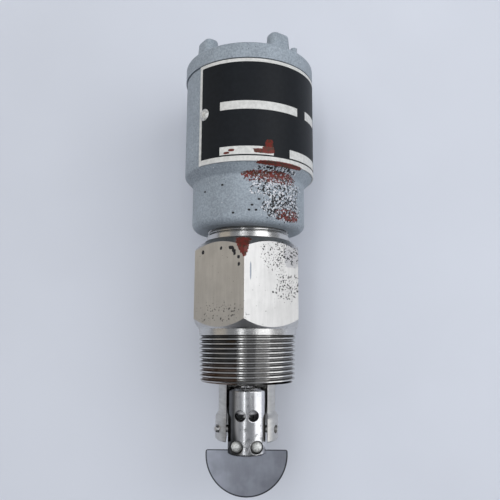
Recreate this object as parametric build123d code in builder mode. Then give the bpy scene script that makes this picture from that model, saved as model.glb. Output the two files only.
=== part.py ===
from build123d import *
from math import asin, cos, pi, radians, sin, sqrt, tan
import os

# Paddle flow switch, in millimetres. +Z runs up through the cap, the vane hangs
# down, and -Y faces the person who reads the nameplate. The origin is the centre
# of the pipe thread's large end, where the switch meets the pipe fitting.

# Process thread, a 1-1/2 inch taper pipe thread at its crests
thread_length = 23.0
thread_small_radius = 23.7
thread_taper = 1 / 32
thread_end_chamfer = 1.0
neck_step = 0.1
neck_length = 2.8

# Hexagon of the switch body
hex_across_flats = 50.8
hex_height = 44.2
hex_turn = 26.8
hex_top_radius = 22.0
hex_top_slope = 41
hex_bottom_slope = 45
hex_chamfer_crown = 0.15

# Upper boss of the switch body, which screws into the housing
ring_radius = 21.4
ring_height = 2.4
boss_radius = 20.9
boss_show = 2.7
boss_engagement = 8.8
boss_chamfer = 0.8

# Nose and forked clevis under the thread
nose_radius = 14.1
ear_radius = 15.5
ear_flare = 2.1
ear_height = 11.0
ear_edge = 0.6
web_drop = 14.0

# How far a cutting sketch reaches past the solid that it cuts
cut_margin = 1.0

# Vane arm, hung on a pin in front of the body's axis
arm_radius = 9.6
arm_offset = 6.4
arm_top_gap = 2.1
arm_length = 31.0
arm_side_clearance = 0.3
arm_back_clearance = 0.35
arm_top_chamfer = 1.5
arm_bottom_chamfer = 0.7
arm_flat_depth = 0.65
arm_flat_length = 18.5
pivot_rise = 11.1
pin_radius = 1.9
pin_clearance = 0.05
pin_head_height = 1.1
pin_recess = 1.2
ear_hole_clearance = 0.1

# Keeper slug in the arm and the two cross holes that show it
slug_radius = 5.6
slug_depth = 1.4
slug_above_pivot = 7.2
slug_clearance = 0.05
slug_chamfer = 0.5
slug_well_below = 3.0
cross_hole_radius = 2.5
cross_hole_spacing = 6.3
cross_hole_below_slug = 0.1

# Vane and its two round-head screws
vane_width = 39.4
vane_thickness = 1.0
vane_top_rise = 1.5
vane_shoulder = 2.0
vane_corner = 1.0
vane_tab_width = 15.0
vane_tab_above_screw = 4.0
vane_tab_end_gap = 0.4
vane_slot_clearance = 0.05
vane_screw_spacing = 9.4
vane_screw_rise = 4.0
vane_screw_radius = 1.5
vane_screw_head_radius = 2.6
vane_screw_head_height = 1.8
vane_screw_length = 9.0
vane_screw_end_gap = 0.5
vane_screw_pocket = 3.8
vane_screw_pocket_gap = 0.4
screw_hole_clearance = 0.1

# Blind well in the body, with the magnet on its rod
well_radius = 7.0
well_floor = 3.0
magnet_radius = 6.6
magnet_length = 12.0
magnet_gap = 0.3
rod_radius = 2.0
rod_flange_radius = 4.5
rod_flange_height = 1.5
rod_slide_clearance = 0.05
magnet_bond_clearance = 0.02
bush_radius = 9.5
bush_length = 8.0
bush_clearance = 0.02

# Trip lever
lever_rise = 6.7
lever_thickness = 1.5
lever_width = 9.0
lever_pivot_x = -8.0
lever_plunger_arm = 6.0
lever_tail = 3.0
lever_tip_x = 3.5
lever_slot_clearance = 0.3
lever_eye_radius = 2.4
lever_pin_radius = 1.2
lever_pin_clearance = 0.05
lever_side_gap = 0.4
lever_pin_head_height = 1.2
lever_pin_rivet = 0.6
rod_groove_play = 0.85
rod_collar_radius = 3.0
rod_collar_height = 1.2
rod_nut_height = 2.2
rod_nut_radius = 3.0
rod_end_show = 0.6
adjuster_radius = 1.5
adjuster_top = 4.4
adjuster_below = 2.6
adjuster_tip_round = 0.9
adjuster_head_radius = 2.2
adjuster_head_height = 1.2
adjuster_nut_radius = 2.7
adjuster_nut_height = 1.2

# Snap switch
plunger_radius = 1.7
plunger_show = 1.8
plunger_inside = 4.0
plunger_gap = 0.2
plunger_clearance = 0.1
plunger_tip_round = 0.55
case_length = 27.8
case_height = 15.9
case_thickness = 10.3
case_plunger_inset = 7.5
case_edge = 0.8
case_hole_inset = 2.8
case_hole_rise = 8.5
case_screw_radius = 1.45
case_screw_head_radius = 2.7
case_screw_head_height = 1.8
case_screw_show = 1.0
terminal_count = 3
terminal_pitch = 9.4
terminal_width = 6.3
terminal_thickness = 0.8
terminal_height = 7.5
terminal_hole_rise = 4.55
terminal_screw_radius = 1.25
terminal_screw_head_radius = 2.3
terminal_screw_head_height = 1.4
terminal_screw_show = 2.0

# Bracket that carries the switch and the lever
bracket_thickness = 1.5
bracket_foot_width = 28.0
bracket_foot_front = 15.0
bracket_right_margin = 2.0
bracket_corner = 2.5
bracket_over_hole = 5.0
bracket_left_base = 1.0
bracket_left_neck = 5.0
bracket_right_base = 3.0
bracket_right_neck = 8.0
bracket_hole_inset = 2.0
bracket_screw_radius = 1.9
bracket_screw_depth = 7.0
bracket_screw_end_gap = 1.0
bracket_screw_head_radius = 3.2
bracket_screw_head_height = 2.2
bracket_screw_x = 10.5
bracket_screw_y = 10.0

# Housing
housing_radius = 33.4
case_room = 2.4
housing_floor = 8.9
lower_height = 23.9
shoulder_height = 4.5
upper_height = 51.6
bottom_round = 4.0
shoulder_round = 2.0
lower_wall = 4.6
upper_wall = 4.4
ledge_drop = 0.6
thread_zone = 13.6
cap_thread_clearance = 0.3
seal_seat_depth = 2.0
seal_seat_width = 1.9
boss_clearance = 0.1

# Conduit hub at the back, a 3/4 inch female pipe thread at its crests
hub_radius = 17.0
hub_length = 6.6
hub_bore_radius = 11.7
hub_height = 26.1
hub_edge = 1.2
hub_mouth_chamfer = 0.8

# Screw cap
cap_overhang = 0.6
cap_height = 8.2
cap_edge = 1.3
cap_gap = 0.5
cap_skirt_inset = 3.4
cap_skirt_length = 12.0
cap_skirt_wall = 4.0
cap_top_thickness = 4.0
lug_count = 4
lug_turn = -56.0
lug_inset = 8.2
lug_height = 10.0
lug_base_width = 12.0
lug_base_depth = 8.8
lug_top_width = 10.6
lug_top_depth = 7.6
lug_round = 3.1
lug_sink = 1.0
lug_top_round = 1.6

# O-ring under the cap's flange
o_ring_section_radius = 0.85
o_ring_side_clearance = 0.05

# Cap set screw
set_screw_radius = 1.6
set_screw_length = 7.0
set_screw_show = 2.4
set_screw_inset = 2.4
set_screw_turn = -44.5
set_screw_clearance = 0.05
set_screw_below = 0.5
set_socket_across = 1.5
set_socket_depth = 1.6

# Nameplate and its drive screws
plate_thickness = 0.6
plate_stand_off = 0.05
plate_height = 51.4
plate_top_margin = 0.1
plate_start = -135.5
plate_sweep = 170.0
plate_screw_inset = 5.5
plate_screw_rise = 25.6
plate_screw_radius = 1.4
plate_screw_depth = 3.0
plate_screw_head_radius = 3.0
plate_screw_head_height = 1.3

# Ground screw on the housing's ledge
ground_turn = 300.0
ground_inset = 2.25
ground_screw_radius = 1.2
ground_screw_depth = 5.0
ground_screw_below = 0.5
ground_head_radius = 2.0
ground_head_height = 1.6

# Heights worked out from the sizes above
thread_large_radius = thread_small_radius + thread_length * thread_taper
neck_radius = thread_large_radius + neck_step
hex_bottom = neck_length
hex_top = hex_bottom + hex_height
hex_corner_radius = hex_across_flats / 2 / cos(pi / 6)
ring_top = hex_top + ring_height
housing_bottom = ring_top + boss_show
boss_top = housing_bottom + boss_engagement
thread_end = -thread_length
arm_top = thread_end - arm_top_gap
arm_bottom = arm_top - arm_length
pivot_z = arm_bottom + pivot_rise
ear_bottom = pivot_z - ear_height / 2
arm_y = -arm_offset
slot_half = arm_radius + arm_side_clearance
web_y = arm_y + arm_radius + arm_back_clearance
slug_top = arm_top - slug_depth
slug_bottom = pivot_z + slug_above_pivot
slug_length = slug_top - slug_bottom
slug_well_radius = slug_radius + slug_clearance
cross_hole_z = slug_bottom - cross_hole_below_slug
vane_top = arm_bottom + vane_top_rise
vane_arc_z = vane_top - vane_shoulder
vane_screw_z = arm_bottom + vane_screw_rise
vane_slot_top = vane_screw_z + vane_tab_above_screw
vane_tab_top = vane_slot_top - vane_tab_end_gap
arm_front = arm_y - arm_radius
well_bottom = thread_end + well_floor
magnet_bottom = well_bottom + magnet_gap
magnet_top = magnet_bottom + magnet_length
lever_z = boss_top + lever_rise
lever_bottom = lever_z - lever_thickness / 2
lever_top = lever_z + lever_thickness / 2
collar_top = lever_bottom - rod_groove_play
nut_bottom = lever_top + rod_groove_play
rod_top = nut_bottom + rod_nut_height + rod_end_show
plunger_x = lever_pivot_x - lever_plunger_arm
adjuster_tip = lever_z + adjuster_top
plunger_tip = adjuster_tip + plunger_gap
case_bottom = plunger_tip + plunger_show
case_top = case_bottom + case_height
case_left = plunger_x - case_plunger_inset
case_mid_x = case_left + case_length / 2
case_right = case_left + case_length
case_hole_z = case_bottom + case_hole_rise
case_holes_x = (case_left + case_hole_inset, case_right - case_hole_inset)
terminal_hole_z = case_top + terminal_hole_rise
bracket_y = case_thickness / 2
case_reach = sqrt(case_left**2 + bracket_y**2)
bracket_back = bracket_y + bracket_thickness
bracket_right = case_right + bracket_right_margin
foot_top = boss_top + bracket_thickness
shoulder_bottom = housing_bottom + lower_height
shoulder_top = shoulder_bottom + shoulder_height
housing_top = shoulder_top + upper_height
floor_top = housing_bottom + housing_floor
ledge_z = shoulder_top - ledge_drop
lower_bore = case_reach + case_room
lower_radius = lower_bore + lower_wall
upper_bore = housing_radius - upper_wall
cap_radius = housing_radius + cap_overhang
cap_skirt_radius = housing_radius - cap_skirt_inset
cap_bore = cap_skirt_radius + cap_thread_clearance
seal_seat_radius = cap_skirt_radius + seal_seat_width
hub_z = shoulder_top + hub_height
hub_reach = housing_radius + hub_length
cap_bottom = housing_top + cap_gap
cap_top = cap_bottom + cap_height
skirt_bottom = cap_bottom - cap_skirt_length
o_ring_circle = cap_skirt_radius + o_ring_side_clearance + o_ring_section_radius
o_ring_z = housing_top - seal_seat_depth + o_ring_section_radius
plate_inner = housing_radius + plate_stand_off
plate_outer = plate_inner + plate_thickness
plate_top = housing_top - plate_top_margin
plate_bottom = plate_top - plate_height
plate_screw_z = plate_bottom + plate_screw_rise
set_screw_top = cap_top + set_screw_show
set_screw_circle = cap_radius - set_screw_inset
lug_circle = cap_radius - lug_inset
ground_circle = upper_bore - ground_inset

os.makedirs("parts", exist_ok=True)


def save(part, name):
    """Label one sub-part and write its STEP file."""
    part.label = name
    export_step(part, f"parts/{name}.step")


def domed_head(seat, out, radius, height):
    """Add a spherical head to the part in hand: its base centre, its level direction, its size."""
    dome = (radius**2 + height**2) / (2 * height)
    middle = asin(radius / dome) / 2
    across = Vector(*out).cross(Vector(0, 0, 1)).normalized()
    with BuildSketch(Plane(seat, x_dir=across, z_dir=across.cross(Vector(*out)))) as profile:
        with BuildLine():
            Line((0, 0), (radius, 0))
            ThreePointArc((radius, 0), (dome * sin(middle), height - dome * (1 - cos(middle))), (0, height))
            Line((0, height), (0, 0))
        make_face()
    revolve(profile.sketch, axis=Axis(seat, out))


# Switch body: hexagon, thread, nose and clevis turned and milled from one bar
with BuildPart() as switch_body:
    with BuildSketch(Plane.XY.offset(hex_bottom)):
        RegularPolygon(radius=hex_corner_radius, side_count=6, rotation=hex_turn)
    extrude(amount=hex_height)
    # Turned chamfers at both ends of the hexagon, slightly crowned
    outside = hex_corner_radius + cut_margin
    low_start = Vector(neck_radius, hex_bottom)
    low_end = low_start + Vector(1, tan(radians(hex_bottom_slope))) * (outside - neck_radius)
    high_start = Vector(hex_top_radius, hex_top)
    high_end = high_start + Vector(1, -tan(radians(hex_top_slope))) * (outside - hex_top_radius)
    low_crown = (low_end - low_start).normalized().rotate(Axis.Z, -90) * hex_chamfer_crown
    high_crown = (high_end - high_start).normalized().rotate(Axis.Z, 90) * hex_chamfer_crown
    with BuildSketch(Plane.XZ):
        with BuildLine():
            Line((0, hex_bottom), low_start)
            ThreePointArc(low_start, (low_start + low_end) / 2 + low_crown, low_end)
            Line(low_end, high_end)
            ThreePointArc(high_end, (high_start + high_end) / 2 + high_crown, high_start)
            Line(high_start, (0, hex_top))
            Line((0, hex_top), (0, hex_bottom))
        make_face()
    revolve(axis=Axis.Z, mode=Mode.INTERSECT)
    with BuildSketch(Plane.XZ):
        with BuildLine():
            Polyline(
                (0, ear_bottom),
                (ear_radius - ear_edge, ear_bottom),
                (ear_radius, ear_bottom + ear_edge),
                (ear_radius, ear_bottom + ear_height),
                (nose_radius, ear_bottom + ear_height + ear_flare),
                (nose_radius, thread_end),
                (thread_small_radius - thread_end_chamfer, thread_end),
                (thread_small_radius, thread_end + thread_end_chamfer),
                (thread_large_radius, 0),
                (neck_radius, 0),
                (neck_radius, hex_bottom),
                (0, hex_bottom),
                close=True,
            )
        make_face()
    revolve(axis=Axis.Z)
    with BuildSketch(Plane.XZ):
        with BuildLine():
            Polyline(
                (0, hex_top),
                (ring_radius, hex_top),
                (ring_radius, ring_top),
                (boss_radius, ring_top),
                (boss_radius, boss_top - boss_chamfer),
                (boss_radius - boss_chamfer, boss_top),
                (0, boss_top),
                close=True,
            )
        make_face()
    revolve(axis=Axis.Z)
    # Fork slot, open at the front, with a web behind the arm that stops it at rest
    past_ear = ear_radius + cut_margin
    with BuildSketch(Plane.YZ.offset(-slot_half)):
        with BuildLine():
            Polyline(
                (-past_ear, thread_end),
                (web_y, thread_end),
                (web_y, thread_end - web_drop),
                (past_ear, thread_end - web_drop - (past_ear - web_y)),
                (past_ear, ear_bottom - past_ear),
                (-past_ear, ear_bottom - past_ear),
                close=True,
            )
        make_face()
    extrude(amount=2 * slot_half, mode=Mode.SUBTRACT)
    # Pivot hole through both ears
    with BuildSketch(Plane.YZ.offset(-past_ear)):
        with Locations((arm_y, pivot_z)):
            Circle(pin_radius + ear_hole_clearance)
    extrude(amount=2 * past_ear, mode=Mode.SUBTRACT)
    # Blind well for the magnet and the seat of the guide bush
    with BuildSketch(Plane.XY.offset(well_bottom)):
        Circle(well_radius)
    extrude(amount=boss_top - well_bottom, mode=Mode.SUBTRACT)
    with BuildSketch(Plane.XY.offset(boss_top - bush_length)):
        Circle(bush_radius)
    extrude(amount=bush_length, mode=Mode.SUBTRACT)
    # Tapped holes for the bracket screws
    with BuildSketch(Plane.XY.offset(boss_top - bracket_screw_depth)):
        with Locations((-bracket_screw_x, -bracket_screw_y), (bracket_screw_x, -bracket_screw_y)):
            Circle(bracket_screw_radius + screw_hole_clearance)
    extrude(amount=bracket_screw_depth, mode=Mode.SUBTRACT)
save(switch_body.part, "switch_body")

# Pivot pin: a domed head outside the left ear, its other end recessed in the right
pin_head_x = -sqrt(ear_radius**2 - (arm_offset - pin_radius) ** 2)
pin_end_x = sqrt(ear_radius**2 - (arm_offset + pin_radius) ** 2) - pin_recess
with BuildPart() as vane_pin:
    with BuildSketch(Plane.YZ.offset(pin_head_x)):
        with Locations((arm_y, pivot_z)):
            Circle(pin_radius)
    extrude(amount=pin_end_x - pin_head_x)
    domed_head((pin_head_x, arm_y, pivot_z), (-1, 0, 0), pin_radius, pin_head_height)
save(vane_pin.part, "vane_pin")

# Vane arm: a polished bar with side flats, slug well, cross holes and vane slot
with BuildPart() as vane_arm:
    arm_axis = Plane((0, arm_y, 0))
    with BuildSketch(arm_axis.offset(arm_bottom)):
        Circle(arm_radius)
    extrude(amount=arm_length)
    chamfer(vane_arm.edges().group_by(Axis.Z)[-1], arm_top_chamfer)
    chamfer(vane_arm.edges().group_by(Axis.Z)[0], arm_bottom_chamfer)
    flat_x = arm_radius - arm_flat_depth
    with BuildSketch(arm_axis.offset(arm_bottom)):
        with Locations((-flat_x - arm_radius / 2, 0), (flat_x + arm_radius / 2, 0)):
            Rectangle(arm_radius, 2 * arm_radius)
    extrude(amount=arm_flat_length, mode=Mode.SUBTRACT)
    with BuildSketch(arm_axis.offset(slug_bottom - slug_well_below)):
        Circle(slug_well_radius)
    extrude(amount=arm_top - slug_bottom + slug_well_below, mode=Mode.SUBTRACT)
    with BuildSketch(Plane((0, arm_front, cross_hole_z), x_dir=(1, 0, 0), z_dir=(0, 1, 0))):
        with Locations((-cross_hole_spacing / 2, 0), (cross_hole_spacing / 2, 0)):
            Circle(cross_hole_radius)
    extrude(amount=arm_radius, mode=Mode.SUBTRACT)
    with BuildSketch(Plane.YZ):
        with Locations((arm_y, pivot_z)):
            Circle(pin_radius + pin_clearance)
    extrude(amount=arm_radius, both=True, mode=Mode.SUBTRACT)
    slot_half_y = vane_thickness / 2 + vane_slot_clearance
    with BuildSketch(arm_axis.offset(arm_bottom)):
        Rectangle(2 * arm_radius, 2 * slot_half_y)
    extrude(amount=vane_slot_top - arm_bottom, mode=Mode.SUBTRACT)
    with BuildSketch(Plane((0, arm_front, vane_screw_z), x_dir=(1, 0, 0), z_dir=(0, 1, 0))):
        with Locations((-vane_screw_spacing / 2, 0), (vane_screw_spacing / 2, 0)):
            Circle(vane_screw_head_radius + vane_screw_pocket_gap)
    extrude(amount=vane_screw_pocket, mode=Mode.SUBTRACT)
    with BuildSketch(Plane((0, arm_front, vane_screw_z), x_dir=(1, 0, 0), z_dir=(0, 1, 0))):
        with Locations((-vane_screw_spacing / 2, 0), (vane_screw_spacing / 2, 0)):
            Circle(vane_screw_radius + screw_hole_clearance)
    extrude(amount=vane_screw_pocket + vane_screw_length + vane_screw_end_gap, mode=Mode.SUBTRACT)
save(vane_arm.part, "vane_arm")

# Keeper slug in the arm
with BuildPart() as keeper_slug:
    with BuildSketch(arm_axis.offset(slug_bottom)):
        Circle(slug_radius)
    extrude(amount=slug_length)
    chamfer(keeper_slug.edges().group_by(Axis.Z)[0], slug_chamfer)
save(keeper_slug.part, "keeper_slug")

# Vane: thin round-ended sheet with a tab that goes up into the arm's slot
with BuildPart() as vane:
    with BuildSketch(Plane((0, arm_y, 0), x_dir=(1, 0, 0), z_dir=(0, -1, 0))) as vane_face:
        half = vane_width / 2
        with BuildLine():
            Line((-half, vane_arc_z), (-half, vane_top))
            Line((-half, vane_top), (half, vane_top))
            Line((half, vane_top), (half, vane_arc_z))
            ThreePointArc((half, vane_arc_z), (0, vane_arc_z - half), (-half, vane_arc_z))
        make_face()
        fillet(vane_face.vertices().group_by(Axis.Y)[-1], vane_corner)
        with Locations((0, (vane_arc_z + vane_tab_top) / 2)):
            Rectangle(vane_tab_width, vane_tab_top - vane_arc_z)
        with Locations((-vane_screw_spacing / 2, vane_screw_z), (vane_screw_spacing / 2, vane_screw_z)):
            Circle(vane_screw_radius + screw_hole_clearance, mode=Mode.SUBTRACT)
    extrude(amount=vane_thickness / 2, both=True)
save(vane.part, "vane")

# Vane screws, round heads set in pockets in the arm's front
pocket_floor = arm_front + vane_screw_pocket
with BuildPart() as vane_screws:
    for side in (-1, 1):
        seat = (side * vane_screw_spacing / 2, pocket_floor, vane_screw_z)
        with BuildSketch(Plane(seat, x_dir=(1, 0, 0), z_dir=(0, 1, 0))):
            Circle(vane_screw_radius)
        extrude(amount=vane_screw_length)
        domed_head(seat, (0, -1, 0), vane_screw_head_radius, vane_screw_head_height)
save(vane_screws.part, "vane_screws")

# Drive magnet, bonded on the foot of its rod
with BuildPart() as drive_magnet:
    with BuildSketch(Plane.XY.offset(magnet_bottom)):
        Circle(magnet_radius)
        Circle(rod_radius + magnet_bond_clearance, mode=Mode.SUBTRACT)
    extrude(amount=magnet_length)
save(drive_magnet.part, "drive_magnet")

# Magnet rod with a flange on the magnet and a collar under the lever
with BuildPart() as magnet_rod:
    with BuildSketch(Plane.XZ):
        with BuildLine():
            Polyline(
                (0, magnet_bottom),
                (rod_radius, magnet_bottom),
                (rod_radius, magnet_top),
                (rod_flange_radius, magnet_top),
                (rod_flange_radius, magnet_top + rod_flange_height),
                (rod_radius, magnet_top + rod_flange_height),
                (rod_radius, collar_top - rod_collar_height),
                (rod_collar_radius, collar_top - rod_collar_height),
                (rod_collar_radius, collar_top),
                (rod_radius, collar_top),
                (rod_radius, rod_top),
                (0, rod_top),
                close=True,
            )
        make_face()
    revolve(axis=Axis.Z)
save(magnet_rod.part, "magnet_rod")

# Nut that holds the lever down on the rod
with BuildPart() as rod_nut:
    with BuildSketch(Plane.XY.offset(nut_bottom)):
        RegularPolygon(radius=rod_nut_radius, side_count=6)
        Circle(rod_radius + magnet_bond_clearance, mode=Mode.SUBTRACT)
    extrude(amount=rod_nut_height)
save(rod_nut.part, "rod_nut")

# Guide bush in the top of the well
with BuildPart() as guide_bush:
    with BuildSketch(Plane.XY.offset(boss_top - bush_length)):
        Circle(bush_radius - bush_clearance)
        Circle(rod_radius + rod_slide_clearance, mode=Mode.SUBTRACT)
    extrude(amount=bush_length)
save(guide_bush.part, "guide_bush")

# Bracket: a foot on the body's boss and an upright plate folded up from it
with BuildPart() as switch_bracket:
    foot_depth = bracket_foot_front + bracket_back
    with BuildSketch(Plane.XY.offset(boss_top)):
        with Locations((0, (bracket_back - bracket_foot_front) / 2)):
            Rectangle(bracket_foot_width, foot_depth)
        Circle(boss_radius - boss_chamfer, mode=Mode.INTERSECT)
        Circle(bush_radius - bracket_hole_inset, mode=Mode.SUBTRACT)
        with Locations((-bracket_screw_x, -bracket_screw_y), (bracket_screw_x, -bracket_screw_y)):
            Circle(bracket_screw_radius + screw_hole_clearance, mode=Mode.SUBTRACT)
    extrude(amount=bracket_thickness)
    upright_top = case_hole_z + bracket_over_hole
    with BuildSketch(Plane((0, bracket_y, 0), x_dir=(1, 0, 0), z_dir=(0, -1, 0))) as upright:
        foot_half = bracket_foot_width / 2
        with BuildLine():
            Polyline(
                (-foot_half, boss_top),
                (foot_half, boss_top),
                (foot_half, foot_top + bracket_right_base),
                (bracket_right, foot_top + bracket_right_neck),
                (bracket_right, upright_top),
                (case_left, upright_top),
                (case_left, foot_top + bracket_left_neck),
                (-foot_half, foot_top + bracket_left_base),
                close=True,
            )
        make_face()
        fillet(upright.vertices().group_by(Axis.Y)[-1], bracket_corner)
        with Locations((lever_pivot_x, lever_z)):
            Circle(lever_pin_radius + magnet_bond_clearance, mode=Mode.SUBTRACT)
        with Locations(*[(x, case_hole_z) for x in case_holes_x]):
            Circle(case_screw_radius + screw_hole_clearance, mode=Mode.SUBTRACT)
    extrude(amount=-bracket_thickness)
save(switch_bracket.part, "switch_bracket")

# Bracket screws into the boss
with BuildPart() as bracket_screws:
    for side in (-1, 1):
        with BuildSketch(Plane((side * bracket_screw_x, -bracket_screw_y, foot_top))):
            Circle(bracket_screw_radius)
        extrude(amount=bracket_screw_end_gap - bracket_thickness - bracket_screw_depth)
        with BuildSketch(Plane((side * bracket_screw_x, -bracket_screw_y, foot_top))):
            Circle(bracket_screw_head_radius)
        extrude(amount=bracket_screw_head_height)
save(bracket_screws.part, "bracket_screws")

# Trip lever: an eye on the lever pin, a fork round the rod, a tail with the adjuster
eye_half = lever_width / 2 - lever_side_gap
with BuildPart() as trip_lever:
    with BuildSketch(Plane.XY.offset(lever_bottom)):
        lever_left = plunger_x - lever_tail
        with Locations(((lever_left + lever_tip_x) / 2, 0)):
            Rectangle(lever_tip_x - lever_left, lever_width)
        fork_half = rod_radius + lever_slot_clearance
        Circle(fork_half, mode=Mode.SUBTRACT)
        with Locations(((lever_tip_x + cut_margin) / 2, 0)):
            Rectangle(lever_tip_x + cut_margin, 2 * fork_half, mode=Mode.SUBTRACT)
        with Locations((plunger_x, 0)):
            Circle(adjuster_radius + magnet_bond_clearance, mode=Mode.SUBTRACT)
    extrude(amount=lever_thickness)
    with BuildSketch(Plane.XZ):
        with Locations((lever_pivot_x, lever_z)):
            Circle(lever_eye_radius)
    extrude(amount=eye_half, both=True)
    with BuildSketch(Plane.XZ):
        with Locations((lever_pivot_x, lever_z)):
            Circle(lever_pin_radius + lever_pin_clearance)
    extrude(amount=lever_width, both=True, mode=Mode.SUBTRACT)
save(trip_lever.part, "trip_lever")

# Lever pin, riveted in the bracket, with a head in front of the lever
with BuildPart() as lever_pin:
    pin_front = -lever_width / 2 - lever_side_gap
    with BuildSketch(Plane((lever_pivot_x, pin_front, lever_z), x_dir=(1, 0, 0), z_dir=(0, 1, 0))):
        Circle(lever_pin_radius)
    extrude(amount=bracket_back - pin_front + lever_pin_rivet)
    with BuildSketch(Plane((lever_pivot_x, pin_front, lever_z), x_dir=(1, 0, 0), z_dir=(0, 1, 0))):
        Circle(lever_eye_radius)
    extrude(amount=-lever_pin_head_height)
save(lever_pin.part, "lever_pin")

# Lever adjuster, a screw through the lever's tail that works the plunger
with BuildPart() as lever_adjuster:
    with BuildSketch(Plane((plunger_x, 0, lever_bottom - adjuster_below))):
        Circle(adjuster_radius)
    extrude(amount=adjuster_tip - lever_bottom + adjuster_below)
    fillet(lever_adjuster.edges().group_by(Axis.Z)[-1], adjuster_tip_round)
    with BuildSketch(Plane((plunger_x, 0, lever_bottom - adjuster_below))):
        RegularPolygon(radius=adjuster_head_radius, side_count=6)
    extrude(amount=adjuster_head_height)
save(lever_adjuster.part, "lever_adjuster")

# Lock nut of the adjuster
with BuildPart() as adjuster_nut:
    with BuildSketch(Plane((plunger_x, 0, lever_top))):
        RegularPolygon(radius=adjuster_nut_radius, side_count=6)
        Circle(adjuster_radius + magnet_bond_clearance, mode=Mode.SUBTRACT)
    extrude(amount=adjuster_nut_height)
save(adjuster_nut.part, "adjuster_nut")

# Snap switch case with its plunger hole and mounting holes
with BuildPart() as switch_case:
    with BuildSketch(Plane((case_mid_x, 0, case_bottom))):
        Rectangle(case_length, case_thickness)
    extrude(amount=case_height)
    fillet(switch_case.edges().filter_by(Axis.Y), case_edge)
    with BuildSketch(Plane((plunger_x, 0, case_bottom))):
        Circle(plunger_radius + plunger_clearance)
    extrude(amount=plunger_inside + plunger_show, mode=Mode.SUBTRACT)
    with BuildSketch(Plane.XZ):
        with Locations(*[(x, case_hole_z) for x in case_holes_x]):
            Circle(case_screw_radius + screw_hole_clearance)
    extrude(amount=case_thickness, both=True, mode=Mode.SUBTRACT)
save(switch_case.part, "switch_case")

# Plunger of the snap switch
with BuildPart() as switch_plunger:
    with BuildSketch(Plane((plunger_x, 0, plunger_tip))):
        Circle(plunger_radius)
    extrude(amount=plunger_show + plunger_inside)
    fillet(switch_plunger.edges().group_by(Axis.Z)[0], plunger_tip_round)
save(switch_plunger.part, "switch_plunger")

# Screws that hold the case on the upright
with BuildPart() as switch_screws:
    for x in case_holes_x:
        seat = (x, -case_thickness / 2, case_hole_z)
        with BuildSketch(Plane(seat, x_dir=(1, 0, 0), z_dir=(0, 1, 0))):
            Circle(case_screw_radius)
        extrude(amount=case_thickness + bracket_thickness + case_screw_show)
        with BuildSketch(Plane(seat, x_dir=(1, 0, 0), z_dir=(0, 1, 0))):
            Circle(case_screw_head_radius)
        extrude(amount=-case_screw_head_height)
save(switch_screws.part, "switch_screws")

# Terminals of the snap switch
terminal_xs = [case_mid_x + (i - (terminal_count - 1) / 2) * terminal_pitch for i in range(terminal_count)]
with BuildPart() as switch_terminals:
    with BuildSketch(Plane.XY.offset(case_top)):
        with Locations(*[(x, 0) for x in terminal_xs]):
            Rectangle(terminal_width, terminal_thickness)
    extrude(amount=terminal_height)
    with BuildSketch(Plane.XZ):
        with Locations(*[(x, terminal_hole_z) for x in terminal_xs]):
            Circle(terminal_screw_radius + screw_hole_clearance)
    extrude(amount=terminal_thickness, both=True, mode=Mode.SUBTRACT)
save(switch_terminals.part, "switch_terminals")

# Terminal screws
with BuildPart() as terminal_screws:
    for x in terminal_xs:
        seat = (x, -terminal_thickness / 2, terminal_hole_z)
        with BuildSketch(Plane(seat, x_dir=(1, 0, 0), z_dir=(0, 1, 0))):
            Circle(terminal_screw_radius)
        extrude(amount=terminal_thickness + terminal_screw_show)
        with BuildSketch(Plane(seat, x_dir=(1, 0, 0), z_dir=(0, 1, 0))):
            Circle(terminal_screw_head_radius)
        extrude(amount=-terminal_screw_head_height)
save(terminal_screws.part, "terminal_screws")

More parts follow.
